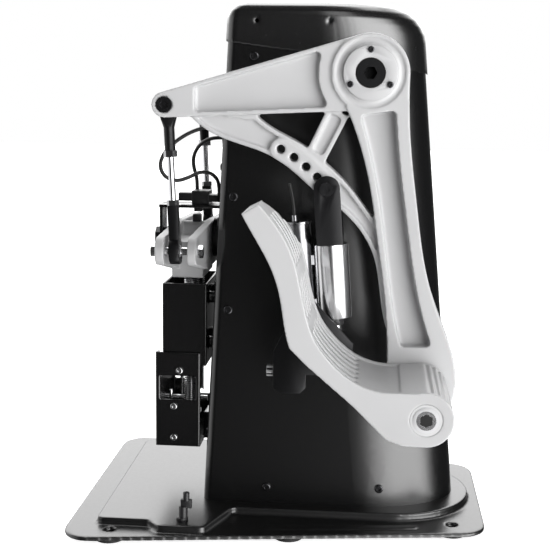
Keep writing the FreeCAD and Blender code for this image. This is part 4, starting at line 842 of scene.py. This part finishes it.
@dataclass
class Studio:
    """Pale floor, soft lights and the camera.

    Attributes:
        camera_at: The camera's place, in metres.
        yaw: The camera's heading from +Y, in degrees, as all angles here are.
        pitch: How far it looks up.
        roll: How far it is rolled.
        lens: Its focal length, in millimetres.
        looked_at: The point that the lamps look at.
        lamps: The lamps: a high front key and a top light.
        floor_half: Half the floor's side, in metres.
        floor_tone: The floor's linear grey.
        floor_glow: The floor's own light.
        front_glow: How bright the mirrored surround is everywhere.
        back_glow: How much brighter the wall behind is.
        back_edge: Where along X the wall behind starts to fade and is gone.
        left_glow: How bright the left wall is.
        box_glow: How bright the softbox is.
        box_bearings: Bearings from straight ahead at which the softbox starts, is full, fades and ends.
        box_top: Heights at which the softbox fades and ends, as the Z of a direction.
    """

    camera_at: tuple[float, float, float] = (0.0711, -0.9762, 0.366)
    yaw: float = -4.84
    pitch: float = -9.42
    roll: float = 0.75
    lens: float = 73.9
    looked_at: tuple[float, float, float] = (0.0, 0.0, 0.22)
    lamps: tuple[Lamp, ...] = (Lamp("key", (0.5, -1.5, 2.0), (0.8, 0.6), 2.0),
                               Lamp("top", (0.1, 0.5, 2.0), (1.4, 0.6), 6.0))
    floor_half: float = 6.0
    floor_tone: float = 0.86
    floor_glow: float = 0.80
    front_glow: float = 0.03
    back_glow: float = 3.2
    back_edge: tuple[float, float] = (0.25, 0.60)
    left_glow: float = 1.0
    box_glow: float = 5.0
    box_bearings: tuple[float, float, float, float] = (7.0, 30.0, 64.0, 84.0)
    box_top: tuple[float, float] = (0.42, 0.62)

    def build(self) -> None:
        """Makes the stage, the lights and the camera."""
        self._floor()
        self._world()
        self._lights()
        self._camera()

    def _floor(self) -> None:
        """A wide pale floor under the rubber feet."""
        shape = bmesh.new()
        bmesh.ops.create_grid(shape, x_segments=1, y_segments=1, size=self.floor_half)
        mesh = bpy.data.meshes.new("floor")
        shape.to_mesh(mesh)
        shape.free()
        floor = bpy.data.objects.new("floor", mesh)
        bpy.context.scene.collection.objects.link(floor)
        material = bpy.data.materials.new("pale floor")
        material.use_nodes = True
        shader = material.node_tree.nodes["Principled BSDF"]
        shader_socket(shader, "Base Color", (self.floor_tone, self.floor_tone, self.floor_tone, 1.0))
        shader_socket(shader, "Roughness", 0.9)
        shader_socket(shader, "Specular IOR Level", 0.0)
        shader_socket(shader, "Emission Color", (1.0, 1.0, 1.0, 1.0))
        shader_socket(shader, "Emission Strength", self.floor_glow)
        mesh.materials.append(material)
        floor.visible_glossy = False
        floor.visible_diffuse = False
        floor.visible_shadow = False

    def _world(self) -> None:
        """A white surround; what the surfaces mirror is one tall softbox on the right and a bright back."""
        world = bpy.data.worlds.new("studio")
        bpy.context.scene.world = world
        world.use_nodes = True
        tree = world.node_tree
        mirrored = tree.nodes["Background"]
        mirrored.inputs["Color"].default_value = (1.0, 1.0, 1.0, 1.0)
        place = tree.nodes.new("ShaderNodeTexCoord")
        split = tree.nodes.new("ShaderNodeSeparateXYZ")
        tree.links.new(place.outputs["Generated"], split.inputs["Vector"])
        both = self._sum(tree, "ADD", self._softbox(tree, split), self._back(tree, split))
        strength = self._sum(tree, "ADD", both, None, self.front_glow)
        tree.links.new(strength, mirrored.inputs["Strength"])
        seen = tree.nodes.new("ShaderNodeBackground")
        seen.inputs["Color"].default_value = (1.0, 1.0, 1.0, 1.0)
        rays = tree.nodes.new("ShaderNodeLightPath")
        choice = tree.nodes.new("ShaderNodeMixShader")
        tree.links.new(rays.outputs["Is Camera Ray"], choice.inputs["Fac"])
        tree.links.new(mirrored.outputs["Background"], choice.inputs[1])
        tree.links.new(seen.outputs["Background"], choice.inputs[2])
        tree.links.new(choice.outputs["Shader"], tree.nodes["World Output"].inputs["Surface"])

    def _softbox(self, tree: bpy.types.NodeTree, split: bpy.types.Node) -> bpy.types.NodeSocket:
        """A tall soft panel on the front right, by its bearing from straight ahead and its height.

        Args:
            tree: The node tree that it is added to.
            split: The direction, split into X, Y and Z.

        Returns:
            The panel's brightness in each direction.
        """
        ahead = self._sum(tree, "MULTIPLY", split.outputs["Y"], None, -1.0)
        bearing = self._sum(tree, "ARCTAN2", split.outputs["X"], ahead)
        near, full, fade, far = (math.radians(a) for a in self.box_bearings)
        rise = self._ramp(tree, bearing, (near, full), (0.0, 1.0))
        fall = self._ramp(tree, bearing, (far, fade), (0.0, self.box_glow))
        top = self._ramp(tree, split.outputs["Z"], self.box_top, (1.0, 0.0))
        return self._sum(tree, "MULTIPLY", self._sum(tree, "MULTIPLY", rise, fall), top)

    def _back(self, tree: bpy.types.NodeTree, split: bpy.types.Node) -> bpy.types.NodeSocket:
        """A bright wall behind, above the horizon, and a dimmer one on the left.

        Args:
            tree: The node tree that it is added to.
            split: The direction, split into X, Y and Z.

        Returns:
            The walls' brightness in each direction.
        """
        behind = self._ramp(tree, split.outputs["Y"], (0.05, 0.55), (0.0, self.back_glow))
        raised = self._ramp(tree, split.outputs["Z"], (0.04, 0.20), (0.04, 1.0))
        leftward = self._ramp(tree, split.outputs["X"], (-0.60, -0.95), (0.0, self.left_glow))
        centred = self._ramp(tree, split.outputs["X"], self.back_edge, (1.0, 0.0))
        wall = self._sum(tree, "MULTIPLY", self._sum(tree, "MULTIPLY", behind, raised), centred)
        return self._sum(tree, "ADD", wall, leftward)

    @staticmethod
    def _ramp(tree: bpy.types.NodeTree, source: bpy.types.NodeSocket, span: tuple[float, float],
              result: tuple[float, float]) -> bpy.types.NodeSocket:
        """A clamped straight ramp from one span of numbers to another.

        Args:
            tree: The node tree that it is added to.
            source: The number that comes in.
            span: The two ends of what comes in.
            result: What comes out at each end.

        Returns:
            The number that comes out.
        """
        ramp = tree.nodes.new("ShaderNodeMapRange")
        ramp.inputs["From Min"].default_value, ramp.inputs["From Max"].default_value = span
        ramp.inputs["To Min"].default_value, ramp.inputs["To Max"].default_value = result
        tree.links.new(source, ramp.inputs["Value"])
        return ramp.outputs["Result"]

    @staticmethod
    def _sum(tree: bpy.types.NodeTree, how: str, first: bpy.types.NodeSocket,
             second: Optional[bpy.types.NodeSocket], number: float = 0.0) -> bpy.types.NodeSocket:
        """One arithmetic step on two sockets, or on a socket and a number.

        Args:
            tree: The node tree that it is added to.
            how: The math node's operation.
            first: The first operand.
            second: The second operand, or None to use the number.
            number: The second operand as a constant.

        Returns:
            The result.
        """
        step = tree.nodes.new("ShaderNodeMath")
        step.operation = how
        tree.links.new(first, step.inputs[0])
        if second is None:
            step.inputs[1].default_value = number
        else:
            tree.links.new(second, step.inputs[1])
        return step.outputs["Value"]

    def _area(self, setup: Lamp) -> None:
        """Adds one soft rectangular light that looks at the middle of the object.

        Args:
            setup: The lamp that is added.
        """
        light = bpy.data.lights.new(setup.name, "AREA")
        light.shape = "RECTANGLE"
        light.size, light.size_y = setup.size
        light.energy = setup.power
        lamp = bpy.data.objects.new(setup.name, light)
        lamp.location = setup.at
        aim = Vector(self.looked_at) - Vector(setup.at)
        lamp.rotation_euler = aim.to_track_quat("-Z", "Y").to_euler()
        bpy.context.scene.collection.objects.link(lamp)

    def _lights(self) -> None:
        """The lamps: a high front key and a top light."""
        for setup in self.lamps:
            self._area(setup)

    def _camera(self) -> None:
        """The camera, from its heading, its dip and its slight roll."""
        yaw, pitch = math.radians(self.yaw), math.radians(self.pitch)
        ahead = Vector((math.sin(yaw) * math.cos(pitch), math.cos(yaw) * math.cos(pitch), math.sin(pitch)))
        turn = ahead.to_track_quat("-Z", "Y").to_matrix() @ Matrix.Rotation(math.radians(self.roll), 3, "Z")
        data = bpy.data.cameras.new("camera")
        data.lens = self.lens
        data.sensor_width = 36.0
        camera = bpy.data.objects.new("camera", data)
        camera.matrix_world = Matrix.Translation(self.camera_at) @ turn.to_4x4()
        bpy.context.scene.collection.objects.link(camera)
        bpy.context.scene.camera = camera


def clear_startup() -> None:
    """Removes the objects that a new file holds."""
    for thing in list(bpy.data.objects):
        bpy.data.objects.remove(thing)


def main() -> None:
    """Builds every sub-assembly in order."""
    logging.basicConfig(level=logging.INFO, format="%(message)s")
    clear_startup()
    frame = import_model()
    bpy.context.scene.view_settings.view_transform = "Standard"
    shop = Workshop(frame)
    Base(shop).build()
    Tower(shop).build()
    Linkage(shop).build()
    for side in Side:
        Arm(shop, side).build()
    Cable(shop, "long_cable", LONG_ROUTE, 0.148).build()
    Cable(shop, "short_cable", SHORT_ROUTE, 0.075).build()
    Studio().build()
    LOG.info("%d pieces", len(shop.made))


if __name__ == "__main__":
    main()
